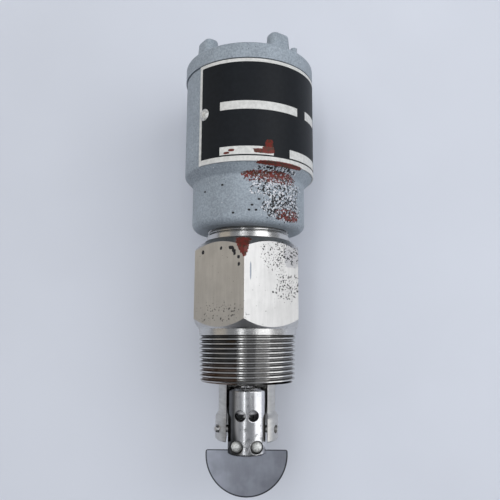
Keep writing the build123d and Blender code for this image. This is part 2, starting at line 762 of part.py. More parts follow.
# Housing: a cast cup, turned outside and bored, with a conduit hub at the back
with BuildPart() as housing:
    with BuildSketch(Plane.XZ) as outer:
        with BuildLine():
            Polyline(
                (0, housing_bottom),
                (lower_radius, housing_bottom),
                (lower_radius, shoulder_bottom),
                (housing_radius, shoulder_top),
                (housing_radius, housing_top),
                (0, housing_top),
                close=True,
            )
        make_face()
        fillet(outer.vertices().sort_by_distance((lower_radius, housing_bottom))[0], bottom_round)
        fillet(outer.vertices().sort_by_distance((lower_radius, shoulder_bottom))[0], shoulder_round)
        fillet(outer.vertices().sort_by_distance((housing_radius, shoulder_top))[0], shoulder_round)
    revolve(axis=Axis.Z)
    with BuildSketch(Plane((0, upper_bore, hub_z), x_dir=(1, 0, 0), z_dir=(0, 1, 0))):
        Circle(hub_radius)
    extrude(amount=hub_reach - upper_bore)
    chamfer(housing.edges().group_by(Axis.Y)[-1], hub_edge)
    with BuildSketch(Plane.XZ):
        with BuildLine():
            Polyline(
                (0, floor_top),
                (lower_bore, floor_top),
                (lower_bore, ledge_z),
                (upper_bore, ledge_z),
                (upper_bore, housing_top - thread_zone),
                (cap_bore, housing_top - thread_zone + cap_bore - upper_bore),
                (cap_bore, housing_top - seal_seat_depth),
                (seal_seat_radius, housing_top - seal_seat_depth),
                (seal_seat_radius, housing_top),
                (0, housing_top),
                close=True,
            )
        make_face()
    revolve(axis=Axis.Z, mode=Mode.SUBTRACT)
    with BuildSketch(Plane.XY.offset(housing_bottom)):
        Circle(boss_radius + boss_clearance)
    extrude(amount=housing_floor, mode=Mode.SUBTRACT)
    with BuildSketch(Plane((0, hub_reach, hub_z), x_dir=(1, 0, 0), z_dir=(0, 1, 0))):
        Circle(hub_bore_radius)
    extrude(amount=-hub_reach, mode=Mode.SUBTRACT)
    chamfer(
        housing.edges().group_by(Axis.Y)[-1].sort_by(SortBy.RADIUS)[0],
        hub_mouth_chamfer,
    )
    ground_x = ground_circle * cos(radians(ground_turn))
    ground_y = ground_circle * sin(radians(ground_turn))
    with BuildSketch(Plane((ground_x, ground_y, ledge_z - ground_screw_depth - ground_screw_below))):
        Circle(ground_screw_radius + screw_hole_clearance)
    extrude(amount=ground_screw_depth + ground_screw_below, mode=Mode.SUBTRACT)
    plate_screw_angle = radians(plate_start + plate_screw_inset)
    screw_out = (cos(plate_screw_angle), sin(plate_screw_angle), 0)
    screw_foot = (plate_outer * screw_out[0], plate_outer * screw_out[1], plate_screw_z)
    with BuildSketch(Plane(screw_foot, x_dir=(0, 0, 1), z_dir=screw_out)):
        Circle(plate_screw_radius + screw_hole_clearance)
    extrude(amount=-plate_screw_depth - plate_thickness, mode=Mode.SUBTRACT)
    far_angle = radians(plate_start + plate_sweep - plate_screw_inset)
    far_out = (cos(far_angle), sin(far_angle), 0)
    far_foot = (plate_outer * far_out[0], plate_outer * far_out[1], plate_screw_z)
    with BuildSketch(Plane(far_foot, x_dir=(0, 0, 1), z_dir=far_out)):
        Circle(plate_screw_radius + screw_hole_clearance)
    extrude(amount=-plate_screw_depth - plate_thickness, mode=Mode.SUBTRACT)
save(housing.part, "housing")

# Ground screw on the ledge inside the housing
with BuildPart() as ground_screw:
    with BuildSketch(Plane((ground_x, ground_y, ledge_z))):
        Circle(ground_screw_radius)
    extrude(amount=-ground_screw_depth)
    with BuildSketch(Plane((ground_x, ground_y, ledge_z))):
        Circle(ground_head_radius)
    extrude(amount=ground_head_height)
save(ground_screw.part, "ground_screw")

# Nameplate: a thin sheet rolled to the housing
with BuildPart() as nameplate:
    start = radians(plate_start)
    with BuildSketch(Plane((0, 0, 0), x_dir=(cos(start), sin(start), 0), z_dir=(sin(start), -cos(start), 0))):
        with Locations(((plate_inner + plate_outer) / 2, (plate_bottom + plate_top) / 2)):
            Rectangle(plate_thickness, plate_height)
    revolve(axis=Axis.Z, revolution_arc=plate_sweep)
    for foot, out in ((screw_foot, screw_out), (far_foot, far_out)):
        with BuildSketch(Plane(foot, x_dir=(0, 0, 1), z_dir=out)):
            Circle(plate_screw_radius + screw_hole_clearance)
        extrude(amount=cut_margin, both=True, mode=Mode.SUBTRACT)
save(nameplate.part, "nameplate")

# Drive screws of the nameplate, with domed heads
with BuildPart() as nameplate_screws:
    for foot, out in ((screw_foot, screw_out), (far_foot, far_out)):
        with BuildSketch(Plane(foot, x_dir=(0, 0, 1), z_dir=out)):
            Circle(plate_screw_radius)
        extrude(amount=-plate_screw_depth)
        domed_head(foot, out, plate_screw_head_radius, plate_screw_head_height)
save(nameplate_screws.part, "nameplate_screws")

# Cap: a flanged screw plug, hollow inside, with wrench lugs on top
with BuildPart() as cap:
    with BuildSketch(Plane.XZ) as cap_profile:
        with BuildLine():
            Polyline(
                (0, cap_top - cap_top_thickness),
                (cap_skirt_radius - cap_skirt_wall, cap_top - cap_top_thickness),
                (cap_skirt_radius - cap_skirt_wall, skirt_bottom),
                (cap_skirt_radius, skirt_bottom),
                (cap_skirt_radius, cap_bottom),
                (cap_radius, cap_bottom),
                (cap_radius, cap_top),
                (0, cap_top),
                close=True,
            )
        make_face()
        fillet(cap_profile.vertices().sort_by_distance((cap_radius, cap_top))[0], cap_edge)
    revolve(axis=Axis.Z)
    for i in range(lug_count):
        turn = lug_turn + i * 360 / lug_count
        lug_centre = (lug_circle * cos(radians(turn)), lug_circle * sin(radians(turn)))
        lug_base = Plane((*lug_centre, cap_top - lug_sink), x_dir=(cos(radians(turn)), sin(radians(turn)), 0))
        with BuildSketch(lug_base):
            RectangleRounded(lug_base_depth, lug_base_width, lug_round)
        with BuildSketch(lug_base.offset(lug_sink + lug_height)):
            RectangleRounded(lug_top_depth, lug_top_width, lug_round)
        loft()
    lug_edges = cap.edges().group_by(Axis.Z)[-1]
    fillet(lug_edges, lug_top_round)
    set_angle = radians(set_screw_turn)
    set_x = set_screw_circle * cos(set_angle)
    set_y = set_screw_circle * sin(set_angle)
    set_screw_foot = set_screw_top - set_screw_length
    with BuildSketch(Plane((set_x, set_y, set_screw_foot - set_screw_below))):
        Circle(set_screw_radius + set_screw_clearance)
    extrude(amount=set_screw_length + set_screw_below, mode=Mode.SUBTRACT)
save(cap.part, "cap")

# Cap set screw, standing proud of the rim
with BuildPart() as cap_set_screw:
    with BuildSketch(Plane((set_x, set_y, set_screw_foot))):
        Circle(set_screw_radius)
    extrude(amount=set_screw_length)
    with BuildSketch(Plane((set_x, set_y, set_screw_top))):
        RegularPolygon(radius=set_socket_across / 2, side_count=6, major_radius=False)
    extrude(amount=-set_socket_depth, mode=Mode.SUBTRACT)
save(cap_set_screw.part, "cap_set_screw")

# O-ring in the housing's mouth, which stays on the cap's skirt
with BuildPart() as cap_o_ring:
    with BuildSketch(Plane.XZ):
        with Locations((o_ring_circle, o_ring_z)):
            Circle(o_ring_section_radius)
    revolve(axis=Axis.Z)
save(cap_o_ring.part, "cap_o_ring")
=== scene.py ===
from math import atan2, cos, degrees, hypot, pi, radians, sin

import bmesh
import bpy
from bpy.props import FloatProperty, FloatVectorProperty, PointerProperty
from mathutils import Matrix, Vector


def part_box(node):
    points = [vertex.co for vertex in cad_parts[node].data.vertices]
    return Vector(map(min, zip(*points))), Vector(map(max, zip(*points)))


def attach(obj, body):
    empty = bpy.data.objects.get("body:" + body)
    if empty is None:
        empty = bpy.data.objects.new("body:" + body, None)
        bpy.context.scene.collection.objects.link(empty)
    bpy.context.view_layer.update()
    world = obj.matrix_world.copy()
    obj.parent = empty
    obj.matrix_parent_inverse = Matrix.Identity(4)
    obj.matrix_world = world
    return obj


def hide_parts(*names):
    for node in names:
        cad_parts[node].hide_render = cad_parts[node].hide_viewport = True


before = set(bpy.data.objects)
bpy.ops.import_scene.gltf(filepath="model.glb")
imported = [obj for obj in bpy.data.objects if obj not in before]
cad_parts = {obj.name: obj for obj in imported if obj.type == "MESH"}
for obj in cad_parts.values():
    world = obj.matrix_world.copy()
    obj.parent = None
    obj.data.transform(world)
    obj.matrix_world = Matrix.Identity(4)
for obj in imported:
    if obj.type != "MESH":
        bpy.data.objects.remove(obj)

bl_info = {
    "name": "Paddle Flow Switch",
    "version": (1, 0, 0),
    "blender": (4, 5, 0),
    "location": "3D View > Sidebar > Flow Switch",
    "description": "Dresses a paddle flow switch around its CAD frame and sets its studio",
    "category": "Add Mesh",
}

MM = 0.001

# How near two points are to be one, and the angles of flat and sharp edges
WELD = 0.002 * MM
FLAT_ANGLE = radians(0.4)
SHARP_ANGLE = radians(28)

# The share of a face's normal that lies along a direction, above which the face looks that way
ALONG = 0.9

# Where a thread's profile bends, as shares of its pitch
CREST_END, ROOT_START, ROOT_END, CREST_START = 0.12, 0.44, 0.56, 0.88

# The least share of a turn between two columns of a thread, and the share of an edge left whole at its ends
COLUMN_GAP = 0.0008
EDGE_END = 0.0005

# Degrees between two columns of a rolled panel
PANEL_STEP = 2

# The range that holds most values of a noise texture, and the value that its sparsest specks exceed
NOISE_LOW, NOISE_HIGH = 0.3, 0.7
SPECK_LEVEL = 0.72

# What the finishes and cuts take from the frame
HOUSING_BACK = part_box("housing")[1].y
PLATE_FACE = -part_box("nameplate")[0].y
SLUG_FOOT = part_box("keeper_slug")[0].z
ARM_LOW, ARM_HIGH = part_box("vane_arm")
ARM_AXIS = (ARM_LOW.y + ARM_HIGH.y) / 2
ARM_RADIUS = (ARM_HIGH.y - ARM_LOW.y) / 2
HEADS_LOW, HEADS_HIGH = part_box("vane_screws")
HEAD_RADIUS = (HEADS_HIGH.z - HEADS_LOW.z) / 2
VANE_LOW, VANE_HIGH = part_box("vane")


def length(name, description, default):
    """A size property in metres."""
    return FloatProperty(name=name, description=description, default=default, unit="LENGTH", precision=5)


def angle(name, description, default):
    """An angle property in radians."""
    return FloatProperty(name=name, description=description, default=default, unit="ROTATION")


def amount(name, description, default):
    """A plain number property."""
    return FloatProperty(name=name, description=description, default=default, precision=4)


def colour(name, description, default):
    """A colour property, given as linear red, green and blue."""
    return FloatVectorProperty(name=name, description=description, default=default, subtype="COLOR")


class FlowSwitchMachining(bpy.types.PropertyGroup):
    """Sizes of the turned and milled metal."""

    thread_pitch: length("Thread pitch", "Pitch of the 1-1/2 inch taper pipe thread", 25.4 * MM / 11.5)
    thread_depth: length("Thread depth", "Depth of the thread from crest to root", 1.55 * MM)
    thread_length: length("Thread length", "Length of the threaded taper", 23.0 * MM)
    thread_top_radius: length("Thread radius", "Crest radius at the large end", 24.42 * MM)
    thread_taper: amount("Thread taper", "Loss of radius per length", 1 / 32)
    thread_chamfer: length("Thread chamfer", "Chamfer at the small end", 1.0 * MM)
    thread_phase: amount("Thread phase", "Share of a turn by which the process thread starts higher", 0.53)
    thread_fade: length("Thread fade", "Length over which the process thread runs out", 0.55 * MM)
    boss_pitch: length("Boss pitch", "Pitch of the thread that holds the housing", 1.5 * MM)
    boss_depth: length("Boss depth", "Depth of that thread", 0.8 * MM)
    boss_radius: length("Boss radius", "Crest radius of that thread", 20.9 * MM)
    boss_bottom: length("Boss bottom", "Height at which that thread starts", 49.4 * MM)
    boss_top: length("Boss top", "Height at which that thread ends", 60.1 * MM)
    boss_fade: length("Boss fade", "Length over which the boss thread runs out", 0.4 * MM)
    hub_pitch: length("Hub pitch", "Pitch of the 3/4 inch conduit thread", 25.4 * MM / 14)
    hub_depth: length("Hub depth", "Depth of that thread, cut into the bore's wall", 0.9 * MM)
    hub_mouth: length("Hub mouth", "Chamfer at the mouth of the hub's bore", 0.8 * MM)
    hub_bore: length("Hub bore", "Radius of the hub's bore", 11.7 * MM)
    hub_height: length("Hub height", "Height of the hub's axis", 106.6 * MM)
    hub_thread_length: length("Hub thread length", "Length of the conduit thread", 9.0 * MM)
    hole_break: length("Hole break", "Width of the chamfer on the arm's holes and ends", 0.3 * MM)
    head_gap: length("Pocket gap", "Room round the vane screws' heads", 0.4 * MM)
    cross_hole_radius: length("Cross hole radius", "Radius of the two holes that show the slug", 2.5 * MM)
    cross_hole_offset: length("Cross hole offset", "Half the distance between those holes", 3.15 * MM)


class FlowSwitchPlate(bpy.types.PropertyGroup):
    """Sizes and colours of the nameplate's print."""

    field_left: angle("Field left", "Viewer's angle where the dark field starts", radians(-42.6))
    field_right: angle("Field right", "Viewer's angle where the dark field ends", radians(122.5))
    field_bottom: length("Field bottom", "Height of the dark field's lower edge", 83.1 * MM)
    field_top: length("Field top", "Height of the dark field's upper edge", 130.3 * MM)
    print_height: length("Print height", "Thickness of the print on the plate", 0.03 * MM)
    field_colour: colour("Field colour", "Enamel of the dark field", (0.010, 0.012, 0.015))
    bare_colour: colour("Bare colour", "Plate and blank windows", (0.66, 0.66, 0.64))


class FlowSwitchFinish(bpy.types.PropertyGroup):
    """Colours of the housing, the metals and the dirt on them, and of the painted shade in the arm's holes
    and the painted shadow at the thread's chamfer.
    """

    housing_colour: colour("Housing paint", "Blue-grey paint on the castings", (0.30, 0.345, 0.39))
    steel_colour: colour("Stainless steel", "Turned and milled stainless steel", (0.60, 0.595, 0.585))
    clevis_colour: colour("Clevis steel", "Coarser steel of the nose and clevis", (0.575, 0.565, 0.54))
    bright_colour: colour("Polished steel", "Polished stainless steel of the arm", (0.72, 0.72, 0.73))
    sheet_colour: colour("Vane sheet", "Rolled stainless sheet of the vane", (0.38, 0.40, 0.46))
    slug_colour: colour("Slug steel", "Bright slug behind the arm's holes", (0.90, 0.90, 0.92))
    drive_screw_colour: colour("Drive screws", "Worn screws of the nameplate", (0.66, 0.66, 0.64))
    vane_screw_colour: colour("Vane screws", "Worn screws that hold the vane", (0.66, 0.67, 0.65))
    smear_colour: colour("Red smears", "Dried red paint on the switch", (0.15, 0.020, 0.015))
    rust_colour: colour("Brown smears", "Parts of the red smears that turned brown", (0.065, 0.026, 0.015))
    speck_colour: colour("Dark specks", "Dirt in the pits and on the flats", (0.012, 0.012, 0.015))
    pale_colour: colour("Pale specks", "Pale specks in the housing's paint", (0.68, 0.68, 0.71))
    dulled_colour: colour("Dulled steel", "Dulled patch on the hexagon", (0.38, 0.38, 0.40))
    scratch_colour: colour("Scratch", "Blue-grey scratch on the hexagon", (0.17, 0.20, 0.25))
    # Colour of the thread's black fill, which also paints the shadow along the chamfer at its small end
    grime_and_shadow_colour: colour("Black grime and painted shadow", "Black grime and painted shadow in the threads", (0.010, 0.010, 0.011))
    oil_colour: colour("Oily grime", "Thinner, browner grime in the threads", (0.060, 0.042, 0.026))
    brown_colour: colour("Brown grime", "Brown grime at the thread's lower left", (0.085, 0.040, 0.018))
    # Painted shade on the walls of the arm's holes and pockets, with some oily grime
    hole_shade_colour: colour("Hole grime and painted shade", "Grime in the arm's holes and pockets", (0.02, 0.02, 0.021))


class FlowSwitchMechanism(bpy.types.PropertyGroup):
    """Colours of the pieces inside the housing."""

    plated_colour: colour("Plated steel", "Screws, rod, lever and pin", (0.60, 0.60, 0.58))
    brass_colour: colour("Brass", "Guide bush and terminals", (0.70, 0.50, 0.22))
    bracket_colour: colour("Zinc bracket", "Bracket of the snap switch", (0.55, 0.56, 0.56))
    case_colour: colour("Moulded case", "Case of the snap switch", (0.022, 0.022, 0.024))
    plunger_colour: colour("Plunger", "Plunger of the snap switch", (0.50, 0.06, 0.04))
    magnet_colour: colour("Magnet", "Drive magnet", (0.16, 0.16, 0.17))
    ground_colour: colour("Ground green", "Ground screw", (0.03, 0.22, 0.08))
    seal_colour: colour("Seal rubber", "O-ring under the cap", (0.015, 0.015, 0.016))


class FlowSwitchStudio(bpy.types.PropertyGroup):
    """The camera, the backdrop and the room."""

    camera_place: FloatVectorProperty(
        name="Camera place", description="Where the camera stands", default=(0.0010, -0.2763, 0.0009),
        subtype="TRANSLATION", unit="LENGTH", precision=5,
    )
    camera_lift: angle("Camera lift", "How far the camera looks up", radians(8.75))
    camera_roll: angle("Camera roll", "How far the camera leans", radians(0.38))
    camera_lens: amount("Lens", "Focal length in millimetres on a 36 mm sensor", 38.7)
    backdrop_gap: length("Backdrop gap", "Room between the conduit hub and the backdrop", 1.0 * MM)
    backdrop_size: length("Backdrop size", "Half the side of the backdrop", 3.0)
    backdrop_colour: colour("Backdrop colour", "Pale blue-grey of the backdrop", (0.665, 0.695, 0.765))
    world_colour: colour("Room colour", "Light of the room", (0.30, 0.31, 0.33))


PROPERTY_GROUPS = {
    "flow_switch_machining": FlowSwitchMachining,
    "flow_switch_plate": FlowSwitchPlate,
    "flow_switch_finish": FlowSwitchFinish,
    "flow_switch_mechanism": FlowSwitchMechanism,
    "flow_switch_studio": FlowSwitchStudio,
}


# Node helpers


def add(tree, kind, **settings):
    """A new shader node with its settings."""
    node = tree.nodes.new(kind)
    for name, value in settings.items():
        setattr(node, name, value)
    return node


def feed(tree, socket, value):
    """Set a socket to a number or colour, or link it to another socket."""
    if isinstance(value, bpy.types.NodeSocket):
        tree.links.new(value, socket)
    elif hasattr(value, "__len__"):
        opaque = len(value) == 3 and len(socket.default_value) == 4
        socket.default_value = (*value, 1.0) if opaque else value
    else:
        socket.default_value = value


def calculate(tree, operation, first, second=0.0, third=0.0):
    """The result of one math node."""
    node = add(tree, "ShaderNodeMath", operation=operation)
    for socket, value in zip(node.inputs, (first, second, third)):
        feed(tree, socket, value)
    return node.outputs[0]


def blend_colours(tree, factor, first, second):
    """A mix of two colours."""
    node = add(tree, "ShaderNodeMix", data_type="RGBA")
    feed(tree, node.inputs["Factor"], factor)
    feed(tree, node.inputs[6], first)
    feed(tree, node.inputs[7], second)
    return node.outputs[2]


def scale_colour(tree, tint, shade):
    """A colour made lighter or darker by a factor."""
    node = add(tree, "ShaderNodeVectorMath", operation="SCALE")
    feed(tree, node.inputs[0], tint)
    feed(tree, node.inputs["Scale"], shade)
    return node.outputs[0]


def remap(tree, value, low, high, to_low=0.0, to_high=1.0, smooth=True):
    """A value mapped from one range to another, clamped."""
    node = add(tree, "ShaderNodeMapRange", interpolation_type="SMOOTHSTEP" if smooth else "LINEAR")
    feed(tree, node.inputs["Value"], value)
    feed(tree, node.inputs["From Min"], low)
    feed(tree, node.inputs["From Max"], high)
    feed(tree, node.inputs["To Min"], to_low)
    feed(tree, node.inputs["To Max"], to_high)
    return node.outputs["Result"]


def vary(tree, value, low, high):
    """The usual values of a noise texture, mapped to another range."""
    return remap(tree, value, NOISE_LOW, NOISE_HIGH, low, high)


def place_on_piece(tree):
    """Coordinates that stay with the piece, in metres."""
    return add(tree, "ShaderNodeTexCoord").outputs["Object"]


def noise(tree, scale, detail, roughness, vector=None):
    """The value of a noise texture over the piece."""
    node = add(tree, "ShaderNodeTexNoise")
    feed(tree, node.inputs["Scale"], scale)
    feed(tree, node.inputs["Detail"], detail)
    feed(tree, node.inputs["Roughness"], roughness)
    feed(tree, node.inputs["Vector"], vector or place_on_piece(tree))
    return node.outputs["Fac"]


def split_place(tree):
    """The X, Y and Z of a point on the piece, in metres."""
    split = add(tree, "ShaderNodeSeparateXYZ")
    feed(tree, split.inputs[0], place_on_piece(tree))
    return split.outputs


def flat_reach(tree, first, second):
    """How long two offsets at right angles are together."""
    offset = add(tree, "ShaderNodeCombineXYZ")
    feed(tree, offset.inputs[0], first)
    feed(tree, offset.inputs[1], second)
    reach = add(tree, "ShaderNodeVectorMath", operation="LENGTH")
    feed(tree, reach.inputs[0], offset.outputs[0])
    return reach.outputs["Value"]


def any_of(tree, masks):
    """The largest of several masks."""
    result = masks[0]
    for mask in masks[1:]:
        result = calculate(tree, "MAXIMUM", result, mask)
    return result


def new_group(name, inputs, outputs):
    """An empty node group with named inputs and outputs, and its two end nodes."""
    tree = bpy.data.node_groups.new(name, "ShaderNodeTree")
    for label, kind, default in inputs:
        socket = tree.interface.new_socket(label, in_out="INPUT", socket_type=kind)
        socket.default_value = default
    for label, kind in outputs:
        tree.interface.new_socket(label, in_out="OUTPUT", socket_type=kind)
    return tree, add(tree, "NodeGroupInput"), add(tree, "NodeGroupOutput")


def use_group(tree, name, **values):
    """One node group placed in a material, with its own values."""
    node = add(tree, "ShaderNodeGroup", node_tree=bpy.data.node_groups[name])
    for label, value in values.items():
        feed(tree, node.inputs[label.replace("_", " ").capitalize()], value)
    return node


# Effects that several materials share


def build_turn_and_height():
    """Where a point lies round the upright axis, in degrees to the viewer's right, and its height in mm."""
    tree, _, end = new_group(
        "Turn and height", [], [("Turn", "NodeSocketFloat"), ("Height", "NodeSocketFloat")]
    )
    place = split_place(tree)
    front = calculate(tree, "MULTIPLY", place["Y"], -1.0)
    turn = calculate(tree, "ARCTAN2", place["X"], front)
    feed(tree, end.inputs["Turn"], calculate(tree, "DEGREES", turn))
    feed(tree, end.inputs["Height"], calculate(tree, "DIVIDE", place["Z"], MM))


def build_ragged_patch():
    """A patch with ragged edges, placed by turn and height."""
    tree, start, end = new_group(
        "Ragged patch",
        [
            ("Centre turn", "NodeSocketFloat", 0.0),
            ("Centre height", "NodeSocketFloat", 0.0),
            ("Half turn", "NodeSocketFloat", 10.0),
            ("Half height", "NodeSocketFloat", 2.0),
            ("Ragged", "NodeSocketFloat", 0.5),
            ("Grain", "NodeSocketFloat", 900.0),
            ("Softness", "NodeSocketFloat", 0.1),
        ],
        [("Mask", "NodeSocketFloat")],
    )
    where = use_group(tree, "Turn and height")
    aside = calculate(tree, "SUBTRACT", where.outputs["Turn"], start.outputs["Centre turn"])
    aside = calculate(tree, "DIVIDE", aside, start.outputs["Half turn"])
    above = calculate(tree, "SUBTRACT", where.outputs["Height"], start.outputs["Centre height"])
    above = calculate(tree, "DIVIDE", above, start.outputs["Half height"])
    aside = calculate(tree, "POWER", calculate(tree, "ABSOLUTE", aside), 3.0)
    above = calculate(tree, "POWER", calculate(tree, "ABSOLUTE", above), 3.0)
    reach = calculate(tree, "ADD", aside, above)
    rough = calculate(tree, "SUBTRACT", noise(tree, start.outputs["Grain"], 4.0, 0.65), 0.5)
    rough = calculate(tree, "MULTIPLY", rough, start.outputs["Ragged"])
    reach = calculate(tree, "ADD", reach, calculate(tree, "MULTIPLY", rough, 4.0))
    inner = calculate(tree, "SUBTRACT", 1.0, start.outputs["Softness"])
    feed(tree, end.inputs["Mask"], remap(tree, reach, inner, 1.0, 1.0, 0.0))


def patch(tree, turn, height, half_turn, half_height, ragged, grain, softness=0.1):
    """The mask of one ragged patch."""
    node = use_group(
        tree, "Ragged patch", centre_turn=turn, centre_height=height, half_turn=half_turn,
        half_height=half_height, ragged=ragged, grain=grain, softness=softness,
    )
    return node.outputs["Mask"]


def patches(tree, places):
    """The mask of several ragged patches."""
    return any_of(tree, [patch(tree, *place) for place in places])


def build_specks():
    """Small irregular specks of a given size and share."""
    tree, start, end = new_group(
        "Specks",
        [
            ("Grain", "NodeSocketFloat", 1500.0),
            ("Share", "NodeSocketFloat", 0.2),
            ("Edge", "NodeSocketFloat", 0.03),
        ],
        [("Mask", "NodeSocketFloat")],
    )
    value = noise(tree, start.outputs["Grain"], 2.0, 0.6)
    lowered = calculate(tree, "MULTIPLY", start.outputs["Share"], 0.3)
    level = calculate(tree, "SUBTRACT", SPECK_LEVEL, lowered)
    high = calculate(tree, "ADD", level, start.outputs["Edge"])
    feed(tree, end.inputs["Mask"], remap(tree, value, level, high))


def specks(tree, grain, share, edge):
    """The mask of some specks."""
    return use_group(tree, "Specks", grain=grain, share=share, edge=edge).outputs["Mask"]


# Places of the patches. A row holds the patch's turn in degrees to the viewer's right, its height in mm, half
# its turn, half its height, how ragged it is, the grain of its edge and, for a soft one, its softness.

SMEARS_ON_PLATE = (
    (16.8, 88.6, 3.4, 2.8, 0.5, 700.0),
    (16.0, 86.4, 5.0, 2.0, 0.5, 700.0),
    (10.5, 85.6, 7.0, 1.1, 0.6, 900.0),
    (-18.0, 84.7, 2.4, 0.6, 0.4, 1400.0),
    (-14.0, 85.9, 2.6, 0.6, 0.4, 1400.0),
)
SMEAR_BELOW_PLATE = (28.5, 80.3, 23.0, 0.95, 0.4, 1100.0)
FLAKED_SMEARS = (
    (22.0, 74.8, 30.0, 2.8, 0.5, 1100.0),
    (42.0, 57.0, 17.0, 3.2, 0.6, 1000.0),
)
THICK_SMEARS = (
    (20.0, 75.8, 28.0, 1.4, 0.6, 1300.0),
    (45.0, 55.8, 11.0, 1.1, 0.8, 1300.0),
)
SMEARS_ON_HEXAGON = (
    (-5.2, 44.9, 9.0, 1.3, 0.8, 800.0),
    (-5.2, 43.5, 7.8, 1.5, 0.8, 800.0),
    (-4.6, 42.1, 6.6, 1.6, 0.8, 800.0),
    (-4.2, 40.6, 5.2, 1.7, 0.8, 800.0),
    (-3.6, 39.0, 3.6, 1.8, 0.8, 800.0),
    (-3.2, 37.6, 2.2, 1.6, 0.8, 800.0),
)

# Where specks lie on the housing: a patch, its share of dark specks and its share of pale ones
SPECKLED_PAINT = (
    ((36.0, 60.0, 27.0, 6.8, 0.5, 300.0, 0.55), 0.74, 0.66),
    ((31.0, 70.0, 34.0, 6.9, 0.5, 300.0, 0.7), 0.62, 0.66),
    ((27.0, 78.0, 24.0, 1.7, 0.4, 900.0, 0.5), 0.74, 0.55),
)

# The turn and height of each loose speck, and then the size, raggedness and grain of them all
LOOSE_SPECKS = (
    (-14.2, 56.9), (3.6, 60.6), (0.8, 58.2), (7.4, 58.2), (10.1, 63.5), (-25.4, 70.9), (-47.0, 69.0),
)
LOOSE_SPECK_FORM = (1.3, 0.5, 0.5, 1500.0)

# Two upright bands where the thread's dark fill is thinned, as a painted reflection
THREAD_REFLECTION_BANDS = (
    (-6.0, -10.0, 6.5, 30.0, 0.0, 100.0, 0.5),
    (19.0, -10.0, 10.0, 30.0, 0.0, 100.0, 0.5),
)
# Painted shadow along the shaded side of the chamfer at the thread's small end
CHAMFER_PAINTED_SHADOW = (48.0, -22.6, 34.0, 0.9, 0.2, 500.0, 0.5)

# Where specks lie on the hexagon: a patch and its share of specks
SPECKLED_FLATS = (
    ((44.0, 39.5, 22.0, 7.5, 0.6, 300.0, 0.8), 0.60),
    ((30.0, 37.0, 20.0, 9.0, 0.6, 300.0, 0.8), 0.51),
    ((46.0, 23.0, 18.0, 8.0, 0.6, 300.0, 0.8), 0.54),
    ((-30.0, 10.0, 34.0, 6.0, 0.6, 300.0, 0.8), 0.36),
)
DULLED_FLAT = (50.0, 37.5, 8.5, 6.0, 0.3, 400.0, 0.4)
SCRATCH = (2.8, 29.5, 0.9, 4.6, 0.3, 1500.0, 0.6)

# The turn, height, half turn and half height of each dark mark, and then the raggedness and grain of them all
HEXAGON_MARKS = (
    (-17.5, 40.7, 3.2, 0.9), (-13.5, 38.4, 1.5, 1.6), (-9.0, 36.0, 1.4, 0.8), (-30.5, 40.9, 1.5, 0.8),
    (-54.0, 39.6, 1.5, 1.0), (28.2, 20.0, 1.1, 0.5), (41.6, 41.0, 0.4, 3.6), (-8.6, 32.6, 1.3, 0.9),
    (-15.0, 39.6, 1.6, 1.0),
)
HEXAGON_MARK_EDGE = (0.9, 1500.0)


def build_red_smears():
    """All the dried red paint on the outside of the switch, red in places and brown in others."""
    finish = bpy.context.scene.flow_switch_finish
    tree, _, end = new_group("Red smears", [], [("Mask", "NodeSocketFloat"), ("Colour", "NodeSocketColor")])
    flakes = specks(tree, 1000.0, 0.74, 0.03)
    flaked = calculate(tree, "MULTIPLY", patches(tree, FLAKED_SMEARS), flakes)
    closed = specks(tree, 1300.0, 0.98, 0.03)
    thick = calculate(tree, "MULTIPLY", patches(tree, THICK_SMEARS), closed)
    smears = [
        patches(tree, SMEARS_ON_PLATE),
        patch(tree, *SMEAR_BELOW_PLATE),
        flaked,
        thick,
        patches(tree, SMEARS_ON_HEXAGON),
    ]
    feed(tree, end.inputs["Mask"], any_of(tree, smears))
    browned = remap(tree, noise(tree, 650.0, 3.0, 0.6), 0.45, 0.60)
    feed(tree, end.inputs["Colour"], blend_colours(tree, browned, finish.smear_colour, finish.rust_colour))


def build_salted_area():
    """Dark and pale specks over the housing, crowded on the lower right and loose elsewhere."""
    tree, _, end = new_group(
        "Salted area", [], [("Dark", "NodeSocketFloat"), ("Pale", "NodeSocketFloat")]
    )
    zones = [(patch(tree, *place), dark, pale) for place, dark, pale in SPECKLED_PAINT]
    dark_share = any_of(tree, [calculate(tree, "MULTIPLY", zone, dark) for zone, dark, _ in zones])
    pale_share = any_of(tree, [calculate(tree, "MULTIPLY", zone, pale) for zone, _, pale in zones])
    loose = patches(tree, [(*place, *LOOSE_SPECK_FORM) for place in LOOSE_SPECKS])
    feed(tree, end.inputs["Dark"], any_of(tree, [specks(tree, 900.0, dark_share, 0.02), loose]))
    feed(tree, end.inputs["Pale"], specks(tree, 1150.0, pale_share, 0.02))


